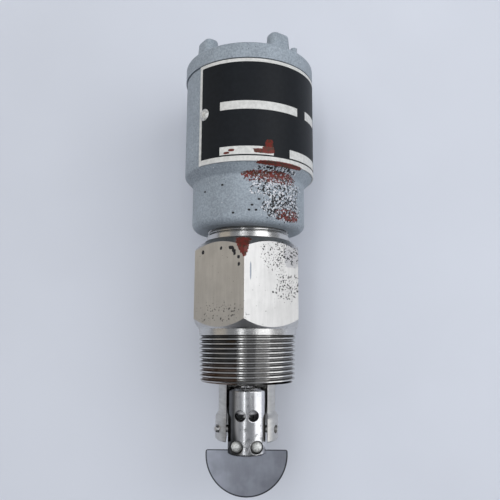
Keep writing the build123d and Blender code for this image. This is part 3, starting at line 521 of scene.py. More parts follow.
def build_groove_grime_and_painted_light():
    """Grime in a thread's grooves, fuller on the left and brown at the lower left, thinned in two upright
    bands as a painted reflection, with a painted shadow along the small end's chamfer at the right.
    """
    finish = bpy.context.scene.flow_switch_finish
    tree, start, end = new_group(
        "Groove grime and painted light",
        [
            ("Crest radius", "NodeSocketFloat", 24.0),
            ("Taper", "NodeSocketFloat", 0.0),
            ("Amount", "NodeSocketFloat", 1.0),
        ],
        [("Mask", "NodeSocketFloat"), ("Colour", "NodeSocketColor")],
    )
    place = split_place(tree)
    radius = calculate(tree, "DIVIDE", flat_reach(tree, place["X"], place["Y"]), MM)
    height = calculate(tree, "DIVIDE", place["Z"], MM)
    crest = calculate(tree, "MULTIPLY_ADD", height, start.outputs["Taper"], start.outputs["Crest radius"])
    depth = calculate(tree, "SUBTRACT", crest, radius)
    cloud = noise(tree, 130.0, 4.0, 0.6)
    where = use_group(tree, "Turn and height")
    left = remap(tree, where.outputs["Turn"], -16.0, -8.0, 1.0, 0.0)
    low = remap(tree, where.outputs["Height"], -17.0, -12.0, 1.0, 0.0)
    # Painted reflection: the fill is thinned in two upright bands, and kept fuller on the left side
    reflection_bands = calculate(tree, "MULTIPLY", patches(tree, THREAD_REFLECTION_BANDS), 0.32)
    left_fill_less_bands = calculate(tree, "SUBTRACT", remap(tree, left, 0.0, 1.0, 0.72, 1.0), reflection_bands)
    cover = calculate(tree, "MULTIPLY", remap(tree, depth, 0.05, 0.5), vary(tree, cloud, 0.8, 1.0))
    cover = calculate(tree, "MULTIPLY", cover, left_fill_less_bands)
    # Painted shadow: a dark patch along the chamfer at the thread's small end, on the right
    cover = calculate(tree, "MAXIMUM", cover, patch(tree, *CHAMFER_PAINTED_SHADOW))
    feed(tree, end.inputs["Mask"], calculate(tree, "MULTIPLY", cover, start.outputs["Amount"]))
    oily = blend_colours(tree, remap(tree, cloud, 0.5, 0.7), finish.grime_and_shadow_colour, finish.oil_colour)
    browned = calculate(tree, "MULTIPLY", left, low)
    feed(tree, end.inputs["Colour"], blend_colours(tree, browned, oily, finish.brown_colour))


def build_fine_lines():
    """Fine turning or milling lines, as a value that changes along one direction."""
    tree, start, end = new_group(
        "Fine lines",
        [("Stretch", "NodeSocketVector", (1.0, 1.0, 1.0)), ("Grain", "NodeSocketFloat", 900.0)],
        [("Value", "NodeSocketFloat")],
    )
    spread = add(tree, "ShaderNodeVectorMath", operation="MULTIPLY")
    feed(tree, spread.inputs[0], place_on_piece(tree))
    feed(tree, spread.inputs[1], start.outputs["Stretch"])
    feed(tree, end.inputs["Value"], noise(tree, start.outputs["Grain"], 3.0, 0.6, spread.outputs[0]))


def fine_lines(tree, upright_stretch, grain):
    """The value of some fine lines, level for a large stretch and upright for a small one."""
    node = use_group(tree, "Fine lines", stretch=(1.0, 1.0, upright_stretch), grain=grain)
    return node.outputs["Value"]


SHARED_EFFECTS = (
    build_turn_and_height,
    build_ragged_patch,
    build_specks,
    build_red_smears,
    build_salted_area,
    build_groove_grime_and_painted_light,
    build_fine_lines,
)


# Materials


def new_material(name):
    """An empty material with a Principled BSDF."""
    material = bpy.data.materials.new(name)
    material.use_nodes = True
    tree = material.node_tree
    return material, tree, tree.nodes["Principled BSDF"]


def raise_surface(tree, shader, height, distance, strength):
    """Feed a height into the shader's normal."""
    bump = add(tree, "ShaderNodeBump")
    feed(tree, bump.inputs["Height"], height)
    bump.inputs["Distance"].default_value = distance
    bump.inputs["Strength"].default_value = strength
    feed(tree, shader.inputs["Normal"], bump.outputs["Normal"])


def housing_paint(name):
    """Blue-grey paint over a rough casting, with pits, specks and red smears."""
    finish = bpy.context.scene.flow_switch_finish
    material, tree, shader = new_material(name)
    cloud = vary(tree, noise(tree, 60.0, 4.0, 0.6), 0.90, 1.08)
    grit = vary(tree, noise(tree, 1100.0, 2.0, 0.6), 0.83, 1.16)
    base = scale_colour(tree, finish.housing_colour, calculate(tree, "MULTIPLY", cloud, grit))
    salt = use_group(tree, "Salted area")
    smears = use_group(tree, "Red smears")
    tone = blend_colours(tree, salt.outputs["Pale"], base, finish.pale_colour)
    tone = blend_colours(tree, salt.outputs["Dark"], tone, finish.speck_colour)
    tone = blend_colours(tree, smears.outputs["Mask"], tone, smears.outputs["Colour"])
    feed(tree, shader.inputs["Base Color"], tone)
    shader.inputs["Roughness"].default_value = 0.5
    shader.inputs["Specular IOR Level"].default_value = 0.4
    lumps = noise(tree, 260.0, 3.0, 0.55)
    pits = noise(tree, 1100.0, 2.0, 0.6)
    height = calculate(tree, "ADD", lumps, calculate(tree, "MULTIPLY", pits, 0.4))
    height = calculate(tree, "SUBTRACT", height, calculate(tree, "MULTIPLY", salt.outputs["Dark"], 0.25))
    raise_surface(tree, shader, height, 0.35 * MM, 0.8)
    return material


def turned_steel(name, tint, roughness, line_depth, upright_stretch):
    """Stainless steel with fine turning lines round the axis."""
    material, tree, shader = new_material(name)
    lines = fine_lines(tree, upright_stretch, 180.0)
    stain = noise(tree, 90.0, 4.0, 0.6)
    shade = calculate(tree, "MULTIPLY", vary(tree, lines, 0.88, 1.08), vary(tree, stain, 0.92, 1.05))
    feed(tree, shader.inputs["Base Color"], scale_colour(tree, tint, shade))
    feed(tree, shader.inputs["Roughness"], vary(tree, stain, roughness * 0.85, roughness * 1.2))
    shader.inputs["Metallic"].default_value = 1.0
    raise_surface(tree, shader, lines, line_depth, 0.5)
    return material


def thread_steel(name, tint, top_radius, taper, grime_amount):
    """Turned steel whose thread grooves hold dark grime, with the groove group's painted reflection bands and
    painted shadow.
    """
    material, tree, shader = new_material(name)
    grime = use_group(tree, "Groove grime and painted light", crest_radius=top_radius / MM, taper=taper, amount=grime_amount)
    mask = grime.outputs["Mask"]
    feed(tree, shader.inputs["Base Color"], blend_colours(tree, mask, tint, grime.outputs["Colour"]))
    feed(tree, shader.inputs["Metallic"], remap(tree, mask, 0.0, 1.0, 1.0, 0.55, smooth=False))
    shader.inputs["Roughness"].default_value = 0.2
    return material


def hexagon_steel(name):
    """Milled stainless flats with a dulled patch, a scratch, dirt and red smears."""
    finish = bpy.context.scene.flow_switch_finish
    material, tree, shader = new_material(name)
    lines = fine_lines(tree, 0.08, 700.0)
    stain = noise(tree, 110.0, 4.0, 0.6)
    shade = calculate(tree, "MULTIPLY", vary(tree, lines, 0.95, 1.04), vary(tree, stain, 0.94, 1.05))
    base = scale_colour(tree, finish.steel_colour, shade)
    dulled = calculate(tree, "MULTIPLY", patch(tree, *DULLED_FLAT), 0.7)
    base = blend_colours(tree, dulled, base, finish.dulled_colour)
    scratch = calculate(tree, "MULTIPLY", patch(tree, *SCRATCH), 0.8)
    base = blend_colours(tree, scratch, base, finish.scratch_colour)
    zones = [calculate(tree, "MULTIPLY", patch(tree, *place), share) for place, share in SPECKLED_FLATS]
    dots = specks(tree, 1150.0, any_of(tree, zones), 0.02)
    marks = patches(tree, [(*place, *HEXAGON_MARK_EDGE) for place in HEXAGON_MARKS])
    dirt = any_of(tree, [dots, marks])
    smears = use_group(tree, "Red smears")
    tone = blend_colours(tree, dirt, base, finish.speck_colour)
    tone = blend_colours(tree, smears.outputs["Mask"], tone, smears.outputs["Colour"])
    feed(tree, shader.inputs["Base Color"], tone)
    covered = calculate(tree, "MAXIMUM", smears.outputs["Mask"], dirt)
    feed(tree, shader.inputs["Metallic"], calculate(tree, "SUBTRACT", 1.0, covered))
    feed(tree, shader.inputs["Roughness"], remap(tree, covered, 0.0, 1.0, 0.36, 0.55, smooth=False))
    raised = calculate(tree, "ADD", lines, smears.outputs["Mask"])
    raise_surface(tree, shader, raised, 0.04 * MM, 0.5)
    return material


def polished_steel(name):
    """Polished steel of the arm, with streaks, stains low down, painted shade on its left side and a dark
    foot.
    """
    finish = bpy.context.scene.flow_switch_finish
    material, tree, shader = new_material(name)
    streaks = fine_lines(tree, 0.05, 600.0)
    place = split_place(tree)
    foot_z = ARM_LOW.z
    low = remap(tree, place["Z"], foot_z + 3.0 * MM, foot_z + 14.0 * MM, 1.0, 0.0)
    cloud = calculate(tree, "MULTIPLY_ADD", low, 0.12, noise(tree, 420.0, 4.0, 0.7))
    stain = remap(tree, cloud, 0.56, 0.72, 1.0, 0.45)
    # Painted shade: the left side of the arm darkens, deeper and wider low down
    left_shade_edge = calculate(tree, "MULTIPLY_ADD", low, -1.6 * MM, place["X"])
    darkest = remap(tree, low, 0.0, 1.0, 0.20, 0.10, smooth=False)
    left_painted_shade = remap(tree, left_shade_edge, -6.4 * MM, -4.2 * MM, darkest, 1.0)
    foot = remap(tree, place["Z"], foot_z + 0.2 * MM, foot_z + 1.1 * MM, 0.35, 1.0)
    shade = calculate(tree, "MULTIPLY", vary(tree, streaks, 0.84, 1.06), stain)
    shade = calculate(tree, "MULTIPLY", shade, calculate(tree, "MULTIPLY", left_painted_shade, foot))
    feed(tree, shader.inputs["Base Color"], scale_colour(tree, finish.bright_colour, shade))
    shader.inputs["Metallic"].default_value = 1.0
    feed(tree, shader.inputs["Roughness"], vary(tree, streaks, 0.20, 0.30))
    raise_surface(tree, shader, streaks, 0.02 * MM, 0.4)
    return material


def vane_sheet(name):
    """Rolled stainless sheet, clouded, with painted shade towards its lower right, and darker along its rim
    and under the arm.
    """
    finish = bpy.context.scene.flow_switch_finish
    material, tree, shader = new_material(name)
    rolling = fine_lines(tree, 0.12, 500.0)
    half_width = (VANE_HIGH.x - VANE_LOW.x) / 2
    place = split_place(tree)
    drop = calculate(tree, "SUBTRACT", VANE_LOW.z + half_width, place["Z"])
    # Painted shade: the sheet darkens from its upper left towards its lower right
    shade_slope = calculate(tree, "DIVIDE", calculate(tree, "ADD", place["X"], drop), 2 * half_width)
    reach = flat_reach(tree, place["X"], calculate(tree, "MAXIMUM", drop, 0.0))
    rim = remap(tree, reach, half_width - 0.9 * MM, half_width - 0.4 * MM, 1.0, 0.14)
    cloud = remap(tree, noise(tree, 75.0, 3.0, 0.6), 0.35, 0.65, 0.86, 1.12)
    shade = calculate(tree, "MULTIPLY", remap(tree, shade_slope, -0.4, 0.8, 1.14, 0.76), cloud)
    shade = calculate(tree, "MULTIPLY", shade, vary(tree, rolling, 0.96, 1.03))
    shoulder = ARM_LOW.z + 1.5 * MM
    top_edge = remap(tree, place["Z"], shoulder - 0.5 * MM, shoulder - 0.2 * MM, 1.0, 0.3)
    shade = calculate(tree, "MULTIPLY", shade, calculate(tree, "MULTIPLY", rim, top_edge))
    feed(tree, shader.inputs["Base Color"], scale_colour(tree, finish.sheet_colour, shade))
    shader.inputs["Metallic"].default_value = 0.85
    shader.inputs["Roughness"].default_value = 0.42
    raise_surface(tree, shader, rolling, 0.02 * MM, 0.3)
    return material


def plate_print(name, tint, roughness, specular):
    """Enamel or bare metal of the nameplate, under the red smears."""
    material, tree, shader = new_material(name)
    base = scale_colour(tree, tint, vary(tree, noise(tree, 500.0, 4.0, 0.6), 0.86, 1.08))
    smears = use_group(tree, "Red smears")
    mask = smears.outputs["Mask"]
    feed(tree, shader.inputs["Base Color"], blend_colours(tree, mask, base, smears.outputs["Colour"]))
    feed(tree, shader.inputs["Roughness"], remap(tree, mask, 0.0, 1.0, roughness, 0.6, smooth=False))
    shader.inputs["Specular IOR Level"].default_value = specular
    raise_surface(tree, shader, mask, 0.05 * MM, 0.5)
    return material


def plain_finish(name, tint, metallic, roughness, grain=400.0, unevenness=0.08):
    """A finish with a faint unevenness, for the inner and small pieces."""
    material, tree, shader = new_material(name)
    cloud = noise(tree, grain, 3.0, 0.6)
    shade = vary(tree, cloud, 1 - unevenness, 1 + unevenness)
    feed(tree, shader.inputs["Base Color"], scale_colour(tree, tint, shade))
    feed(tree, shader.inputs["Roughness"], vary(tree, cloud, roughness * 0.9, roughness * 1.1))
    shader.inputs["Metallic"].default_value = metallic
    return material


def finish_of(name, make, *tints, **settings):
    """One material, made when it is first asked for."""
    return bpy.data.materials.get(name) or make(name, *tints, **settings)


def give_finish(piece, *materials):
    """Replace the materials of a piece."""
    piece.data.materials.clear()
    for material in materials:
        piece.data.materials.append(material)


# Mesh helpers


def open_solid(node_name):
    """The form of one CAD sub-part as an open bmesh, its flat faces joined up again."""
    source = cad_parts[node_name]
    work = bmesh.new()
    work.from_mesh(source.data)
    bmesh.ops.transform(work, matrix=source.matrix_world, verts=work.verts)
    bmesh.ops.remove_doubles(work, verts=work.verts, dist=WELD)
    bmesh.ops.dissolve_limit(work, angle_limit=FLAT_ANGLE, verts=work.verts, edges=work.edges)
    return work


def close_piece(work, name):
    """A new object from a bmesh, smooth but for its sharp edges."""
    mesh = bpy.data.meshes.new(name)
    work.to_mesh(mesh)
    work.free()
    for layer in [layer for layer in mesh.attributes if layer.name == "custom_normal"]:
        mesh.attributes.remove(layer)
    mesh.shade_smooth()
    mesh.set_sharp_from_angle(angle=SHARP_ANGLE)
    piece = bpy.data.objects.new(name, mesh)
    bpy.context.collection.objects.link(piece)
    return piece


def break_edges(piece, width):
    """Bevel the sharp edges of a piece."""
    bevel = piece.modifiers.new("Edge break", "BEVEL")
    bevel.width = width
    bevel.segments = 2
    bevel.limit_method = "ANGLE"
    bevel.angle_limit = SHARP_ANGLE
    bevel.use_clamp_overlap = False
    bevel.harden_normals = True


def dress(node_name, piece_name, body, material, width=0.0, shape=None):
    """A finished piece in place of one CAD sub-part, with shape(work) to work on its form."""
    work = open_solid(node_name)
    if shape:
        shape(work)
    piece = close_piece(work, piece_name)
    give_finish(piece, material)
    if width:
        break_edges(piece, width)
    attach(piece, body)
    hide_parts(node_name)
    return piece


def share_of_turn(place):
    """The share of a full turn at which a point lies, from the front round to the right."""
    return atan2(place.x, -place.y) / (2 * pi) % 1.0


def on_ring(share, radius, height):
    """The point at a share of a turn on a level ring."""
    return Vector((radius * sin(2 * pi * share), -radius * cos(2 * pi * share), height))


def apart(share, other):
    """How far two shares of a turn lie apart, with its sign."""
    return (share - other + 0.5) % 1.0 - 0.5


def ring_thread(shares, bottom, top, crest_radius, pitch, depth, fade, phase):
    """A right-hand thread between two heights, with crests on crest_radius(z), as a bmesh."""
    thread = bmesh.new()
    marks = (CREST_END, ROOT_START, ROOT_END, CREST_START)
    rows = []
    for row in range((int((top - bottom) / pitch) + 3) * len(marks)):
        mark = marks[row % len(marks)]
        along = row // len(marks) + mark - 2 + phase
        line = []
        for turn in (*shares, 1.0):
            z = min(max(bottom + (along + turn) * pitch, bottom), top)
            ease = max(min(1.0, (z - bottom) / fade, (top - z) / fade), 0.0)
            cut = depth * ease if mark in (ROOT_START, ROOT_END) else 0.0
            line.append(thread.verts.new(on_ring(turn, crest_radius(z) - cut, z)))
        rows.append(line)
    for low, high in zip(rows, rows[1:]):
        for column in range(len(shares)):
            thread.faces.new((low[column], low[column + 1], high[column + 1], high[column]))
    return thread


def fit_rim(edge, place, shares, crest_radius):
    """Split one open edge of a rim wherever a column of the thread meets it."""
    local = place.inverted()
    start, end = edge.verts
    first = share_of_turn(local @ start.co)
    height = (local @ start.co).z
    span = apart(share_of_turn(local @ end.co), first)
    crossings = sorted((apart(share, first) / span, share) for share in shares)
    for along, share in crossings:
        if EDGE_END < along < 1 - EDGE_END:
            start = bmesh.utils.edge_split(edge, start, 0.5)[1]
            start.co = place @ on_ring(share, crest_radius(height), height)
            edge = next(part for part in start.link_edges if end in part.verts)


def weld_thread(
    work, place, bottom, top, crest_radius, pitch, depth, fade, phase=0.0, columns=120, inward=False
):
    """A thread between two open rims of a form, welded to both."""
    local = place.inverted()

    def lies_at(edge, height):
        return all(abs((local @ vert.co).z - height) < 2 * WELD for vert in edge.verts)

    open_edges = [edge for edge in work.edges if edge.is_boundary]
    rims = [edge for edge in open_edges if lies_at(edge, bottom) or lies_at(edge, top)]
    if not rims:
        raise RuntimeError("a thread found no open rims to join")
    fixed = set()
    for vert in dict.fromkeys(vert for edge in rims for vert in edge.verts):
        spot = local @ vert.co
        share = round(share_of_turn(spot), 6) % 1.0
        height = bottom if spot.z < (bottom + top) / 2 else top
        vert.co = place @ on_ring(share, crest_radius(height), height)
        fixed.add(share)
    even = [column / columns for column in range(columns)]
    free = [share for share in even if all(abs(apart(share, taken)) > COLUMN_GAP for taken in fixed)]
    shares = sorted({0.0, *fixed, *free})
    for edge in rims:
        fit_rim(edge, place, shares, crest_radius)
    thread = ring_thread(shares, bottom, top, crest_radius, pitch, depth, fade, phase)
    bmesh.ops.transform(thread, matrix=place, verts=thread.verts)
    if inward:
        bmesh.ops.reverse_faces(thread, faces=thread.faces)
    mesh = bpy.data.meshes.new("Thread")
    thread.to_mesh(mesh)
    thread.free()
    work.from_mesh(mesh)
    bpy.data.meshes.remove(mesh)
    bmesh.ops.remove_doubles(work, verts=work.verts, dist=WELD)
    bmesh.ops.dissolve_degenerate(work, edges=work.edges, dist=WELD)


def rolled_panel(name, left, right, bottom, top, radius, thickness, body, material):
    """A thin panel that follows the nameplate's curve."""
    steps = max(2, int(degrees(right - left) / PANEL_STEP))
    work = bmesh.new()
    columns = []
    for step in range(steps + 1):
        turn = left + (right - left) * step / steps
        column = []
        for out, height in ((0, bottom), (thickness, bottom), (thickness, top), (0, top)):
            reach = radius + out
            column.append(work.verts.new((reach * sin(turn), -reach * cos(turn), height)))
        columns.append(column)
    for here, there in zip(columns, columns[1:]):
        for side in range(4):
            after = (side + 1) % 4
            work.faces.new((here[side], there[side], there[after], here[after]))
    work.faces.new(columns[0])
    work.faces.new(reversed(columns[-1]))
    bmesh.ops.recalc_face_normals(work, faces=work.faces)
    panel = close_piece(work, name)
    give_finish(panel, material)
    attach(panel, body)
    return panel


# Operators


class FLOWSWITCH_OT_effects(bpy.types.Operator):
    """Build the shader node groups that the finishes share"""

    bl_idname = "flow_switch.effects"
    bl_label = "Shared effects"

    def execute(self, context):
        for build in SHARED_EFFECTS:
            build()
        return {"FINISHED"}


class FLOWSWITCH_OT_switch_body(bpy.types.Operator):
    """Cut the threads on the switch body and finish its hexagon, clevis and pivot pin"""

    bl_idname = "flow_switch.switch_body"
    bl_label = "Switch body"

    # The order of the body's finishes, and the heights and inner radii that bound them
    TURNED, HEXAGON, PROCESS_THREAD, BOSS_THREAD, CLEVIS = range(5)
    HEXAGON_FOOT = 3.5 * MM
    HEXAGON_TOP = 47.0 * MM
    HEXAGON_INNER = 21.8 * MM
    PROCESS_INNER = 20.5 * MM
    BOSS_INNER = 19.0 * MM

    def execute(self, context):
        sizes = context.scene.flow_switch_machining
        finish = context.scene.flow_switch_finish
        work = open_solid("switch_body")
        self.cut_threads(work, sizes)
        body = close_piece(work, "body_machined")
        turned = finish_of(
            "Turned steel", turned_steel, finish.steel_colour,
            roughness=0.24, line_depth=0.03 * MM, upright_stretch=40.0,
        )
        flats = finish_of("Hexagon steel", hexagon_steel)
        process = finish_of(
            "Process thread steel", thread_steel, finish.steel_colour,
            top_radius=sizes.thread_top_radius, taper=sizes.thread_taper, grime_amount=1.0,
        )
        boss = finish_of(
            "Boss thread steel", thread_steel, finish.steel_colour,
            top_radius=sizes.boss_radius, taper=0.0, grime_amount=0.3,
        )
        clevis = finish_of(
            "Clevis steel", turned_steel, finish.clevis_colour,
            roughness=0.34, line_depth=0.05 * MM, upright_stretch=4.0,
        )
        give_finish(body, turned, flats, process, boss, clevis)
        for face in body.data.polygons:
            face.material_index = self.finish_at(face.center, sizes)
        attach(body, "body")
        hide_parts("switch_body")
        dress("vane_pin", "pivot_pin", "body", turned)
        return {"FINISHED"}

    def cut_threads(self, work, sizes):
        """Put threads in place of the plain walls of the process taper and of the boss."""
        bottom = -sizes.thread_length
        small_radius = sizes.thread_top_radius - sizes.thread_length * sizes.thread_taper
        chamfer_radius = small_radius - sizes.thread_chamfer

        def on_process(vert):
            reach = hypot(vert.co.x, vert.co.y)
            return bottom - WELD <= vert.co.z <= WELD and reach > chamfer_radius - 2 * WELD

        def on_boss(vert):
            off_wall = abs(hypot(vert.co.x, vert.co.y) - sizes.boss_radius)
            return sizes.boss_bottom - WELD <= vert.co.z <= sizes.boss_top + WELD and off_wall < 4 * WELD

        def crest_radius(z):
            crest = small_radius + (z - bottom) * sizes.thread_taper
            return min(crest, chamfer_radius + (z - bottom))

        upright = [face for face in work.faces if abs(face.normal.z) < ALONG]
        plain = [
            face for face in upright if all(map(on_process, face.verts)) or all(map(on_boss, face.verts))
        ]
        bmesh.ops.delete(work, geom=plain, context="FACES")
        body_axis = Matrix.Identity(4)
        weld_thread(
            work, body_axis, bottom, 0.0, crest_radius, sizes.thread_pitch, sizes.thread_depth,
            sizes.thread_fade, phase=sizes.thread_phase, columns=144,
        )
        weld_thread(
            work, body_axis, sizes.boss_bottom, sizes.boss_top, lambda z: sizes.boss_radius,
            sizes.boss_pitch, sizes.boss_depth, sizes.boss_fade,
        )

    def finish_at(self, place, sizes):
        """Which of the body's finishes a face takes, from the place of its centre."""
        reach = hypot(place.x, place.y)
        if self.HEXAGON_FOOT < place.z < self.HEXAGON_TOP and reach > self.HEXAGON_INNER:
            return self.HEXAGON
        if -sizes.thread_length < place.z < 0 and reach > self.PROCESS_INNER:
            return self.PROCESS_THREAD
        if sizes.boss_bottom < place.z < sizes.boss_top and reach > self.BOSS_INNER:
            return self.BOSS_THREAD
        if place.z < -sizes.thread_length - WELD:
            return self.CLEVIS
        return self.TURNED


class FLOWSWITCH_OT_housing(bpy.types.Operator):
    """Paint the housing and cut the thread in its conduit hub"""

    bl_idname = "flow_switch.housing"
    bl_label = "Housing"

    def execute(self, context):
        paint = finish_of("Housing paint", housing_paint)
        dress("housing", "housing_casting", "body", paint, shape=self.cut_conduit_thread)
        return {"FINISHED"}

    def cut_conduit_thread(self, work):
        """Cut the conduit thread into the wall of the hub's bore."""
        sizes = bpy.context.scene.flow_switch_machining
        outer = HOUSING_BACK - sizes.hub_mouth
        inner = outer - sizes.hub_thread_length

        def on_bore(vert):
            reach = hypot(vert.co.x, vert.co.z - sizes.hub_height)
            return vert.co.y > 0 and abs(reach - sizes.hub_bore) < 4 * WELD

        wall = [face for face in work.faces if all(map(on_bore, face.verts))]
        edges = dict.fromkeys(edge for face in wall for edge in face.edges)
        verts = dict.fromkeys(vert for face in wall for vert in face.verts)
        cut = bmesh.ops.bisect_plane(
            work, geom=[*wall, *edges, *verts], plane_co=(0, inner, 0), plane_no=(0, 1, 0)
        )
        new_faces = [item for item in cut["geom"] if isinstance(item, bmesh.types.BMFace)]
        faces = [face for face in dict.fromkeys([*wall, *new_faces]) if face.is_valid]
        threaded = [face for face in faces if face.calc_center_median().y > inner]
        if not threaded:
            raise RuntimeError("the conduit hub's bore wasn't found")
        bmesh.ops.delete(work, geom=threaded, context="FACES")
        into_hub = Matrix.Translation((0.0, outer, sizes.hub_height)) @ Matrix.Rotation(pi / 2, 4, "X")
        weld_thread(
            work, into_hub, 0.0, sizes.hub_thread_length, lambda z: sizes.hub_bore, sizes.hub_pitch,
            -sizes.hub_depth, sizes.hub_pitch / 2, columns=72, inward=True,
        )


class FLOWSWITCH_OT_cap(bpy.types.Operator):
    """Paint the screw cap and its set screw"""

    bl_idname = "flow_switch.cap"
    bl_label = "Cap"

    def execute(self, context):
        paint = finish_of("Housing paint", housing_paint)
        dress("cap", "cap_casting", "cap_assembly", paint)
        dress("cap_set_screw", "set_screw", "cap_assembly", paint)
        return {"FINISHED"}


class FLOWSWITCH_OT_nameplate(bpy.types.Operator):
    """Print the blank nameplate: a dark field with four blank windows"""

    bl_idname = "flow_switch.nameplate"
    bl_label = "Nameplate"

    # The left and right of each window as viewer's angles in degrees, and its bottom and top in mm
    WINDOWS = {
        "model": (-24.0, 44.3, 106.2, 110.4),
        "unit": (55.4, 77.0, 106.6, 111.0),
        "tag": (-23.9, 20.5, 83.8, 87.8),
        "rating": (35.5, 77.5, 83.8, 88.0),
    }

    def execute(self, context):
        sizes = context.scene.flow_switch_plate
        finish = context.scene.flow_switch_finish
        bare = finish_of("Bare plate", plate_print, sizes.bare_colour, roughness=0.42, specular=0.5)
        dark = finish_of("Dark field", plate_print, sizes.field_colour, roughness=0.5, specular=0.18)
        dress("nameplate", "plate_sheet", "body", bare, width=0.06 * MM)
        rolled_panel(
            "plate_field", sizes.field_left, sizes.field_right, sizes.field_bottom, sizes.field_top,
            PLATE_FACE, sizes.print_height, "body", dark,
        )
        for name, (left, right, bottom, top) in self.WINDOWS.items():
            rolled_panel(
                f"plate_window_{name}", radians(left), radians(right), bottom * MM, top * MM,
                PLATE_FACE + sizes.print_height, sizes.print_height, "body", bare,
            )
        worn = finish_of(
            "Drive screw steel", plain_finish, finish.drive_screw_colour,
            metallic=0.5, roughness=0.42, grain=900.0, unevenness=0.35,
        )
        dress("nameplate_screws", "plate_drive_screws", "body", worn)
        return {"FINISHED"}


class FLOWSWITCH_OT_vane(bpy.types.Operator):
    """Polish the vane arm and finish its slug, vane and screws"""

    bl_idname = "flow_switch.vane"
    bl_label = "Vane assembly"

    def execute(self, context):
        sizes = context.scene.flow_switch_machining
        finish = context.scene.flow_switch_finish
        polished = finish_of("Polished arm steel", polished_steel)
        arm = dress(
            "vane_arm", "arm_polished", "vane_assembly", polished,
            shape=self.break_arm_edges,
        )
        # Near-black finish for the hole and pocket walls: painted shade in those recesses, with some oily
        # grime
        grime = finish_of(
            "Oily grime", plain_finish, finish.hole_shade_colour,
            metallic=0.3, roughness=0.35, grain=900.0, unevenness=0.3,
        )
        self.paint_hole_shade(arm, grime, sizes)
        self.round_barrel(arm)
        slug = finish_of("Slug steel", plain_finish, finish.slug_colour, metallic=0.0, roughness=0.3)
        dress("keeper_slug", "arm_slug", "vane_assembly", slug)
        sheet = finish_of("Vane sheet", vane_sheet)
        dress("vane", "vane_blade", "vane_assembly", sheet, width=0.12 * MM)
        worn = finish_of(
            "Worn screw steel", plain_finish, finish.vane_screw_colour,
            metallic=0.35, roughness=0.42, grain=1300.0, unevenness=0.35,
        )
        dress("vane_screws", "vane_screw_heads", "vane_assembly", worn)
        return {"FINISHED"}

    def break_arm_edges(self, work):
        """Chamfer the arm's holes, pockets and ends."""
        sizes = bpy.context.scene.flow_switch_machining
        sharp = [edge for edge in work.edges if edge.is_manifold and edge.calc_face_angle() > SHARP_ANGLE]
        bmesh.ops.bevel(
            work, geom=sharp, offset=sizes.hole_break, segments=2, profile=0.5, affect="EDGES",
            clamp_overlap=False,
        )

    def paint_hole_shade(self, arm, grime, sizes):
        """Give the walls of the screw pockets and of the cross holes a near-black finish: painted shade in
        those recesses, with some oily grime.
        """
        arm.data.materials.append(grime)
        pocket_x = HEADS_HIGH.x - HEAD_RADIUS
        pocket_z = HEADS_LOW.z + HEAD_RADIUS
        holes = []
        for side in (-1, 1):
            holes.append((side * pocket_x, pocket_z, HEAD_RADIUS + sizes.head_gap))
            holes.append((side * sizes.cross_hole_offset, SLUG_FOOT, sizes.cross_hole_radius))
        for face in arm.data.polygons:
            centre = face.center
            inside = any(hypot(centre.x - x, centre.z - z) < radius + 0.1 * MM for x, z, radius in holes)
            if inside and ARM_LOW.y + 0.5 * MM < centre.y < ARM_AXIS:
                face.material_index = 1

    def round_barrel(self, arm):
        """Give the arm's barrel the normals of a true cylinder."""
        mesh = arm.data
        normals = [corner.vector.copy() for corner in mesh.corner_normals]
        for face in mesh.polygons:
            for corner in face.loop_indices:
                place = mesh.vertices[mesh.loops[corner].vertex_index].co
                out = Vector((place.x, place.y - ARM_AXIS, 0.0))
                on_barrel = abs(out.length - ARM_RADIUS) < 5 * WELD
                if on_barrel and face.normal.dot(out.normalized()) > ALONG:
                    normals[corner] = out.normalized()
        mesh.normals_split_custom_set(normals)


class FLOWSWITCH_OT_mechanism(bpy.types.Operator):
    """Finish the magnet, lever, bracket and snap switch inside the housing, and the cap's seal"""

    bl_idname = "flow_switch.mechanism"
    bl_label = "Trip mechanism"

    def execute(self, context):
        colours = context.scene.flow_switch_mechanism

        def inner(name, tint, metallic, roughness):
            return finish_of(name, plain_finish, tint, metallic=metallic, roughness=roughness)

        plated = inner("Plated steel", colours.plated_colour, 1.0, 0.32)
        brass = inner("Brass", colours.brass_colour, 1.0, 0.28)
        finishes = {
            "guide_bush": brass,
            "switch_terminals": brass,
            "terminal_screws": plated,
            "switch_screws": plated,
            "bracket_screws": plated,
            "switch_bracket": inner("Zinc bracket", colours.bracket_colour, 1.0, 0.38),
            "switch_case": inner("Moulded case", colours.case_colour, 0.0, 0.42),
            "switch_plunger": inner("Plunger", colours.plunger_colour, 0.0, 0.4),
            "lever_pin": plated,
            "trip_lever": plated,
            "lever_adjuster": plated,
            "adjuster_nut": plated,
            "magnet_rod": plated,
            "rod_nut": plated,
            "drive_magnet": inner("Magnet", colours.magnet_colour, 1.0, 0.4),
            "ground_screw": inner("Ground green", colours.ground_colour, 0.2, 0.4),
            "cap_o_ring": inner("Seal rubber", colours.seal_colour, 0.0, 0.6),
        }
        for node_name, material in finishes.items():
            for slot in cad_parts[node_name].material_slots:
                slot.material = material
        return {"FINISHED"}


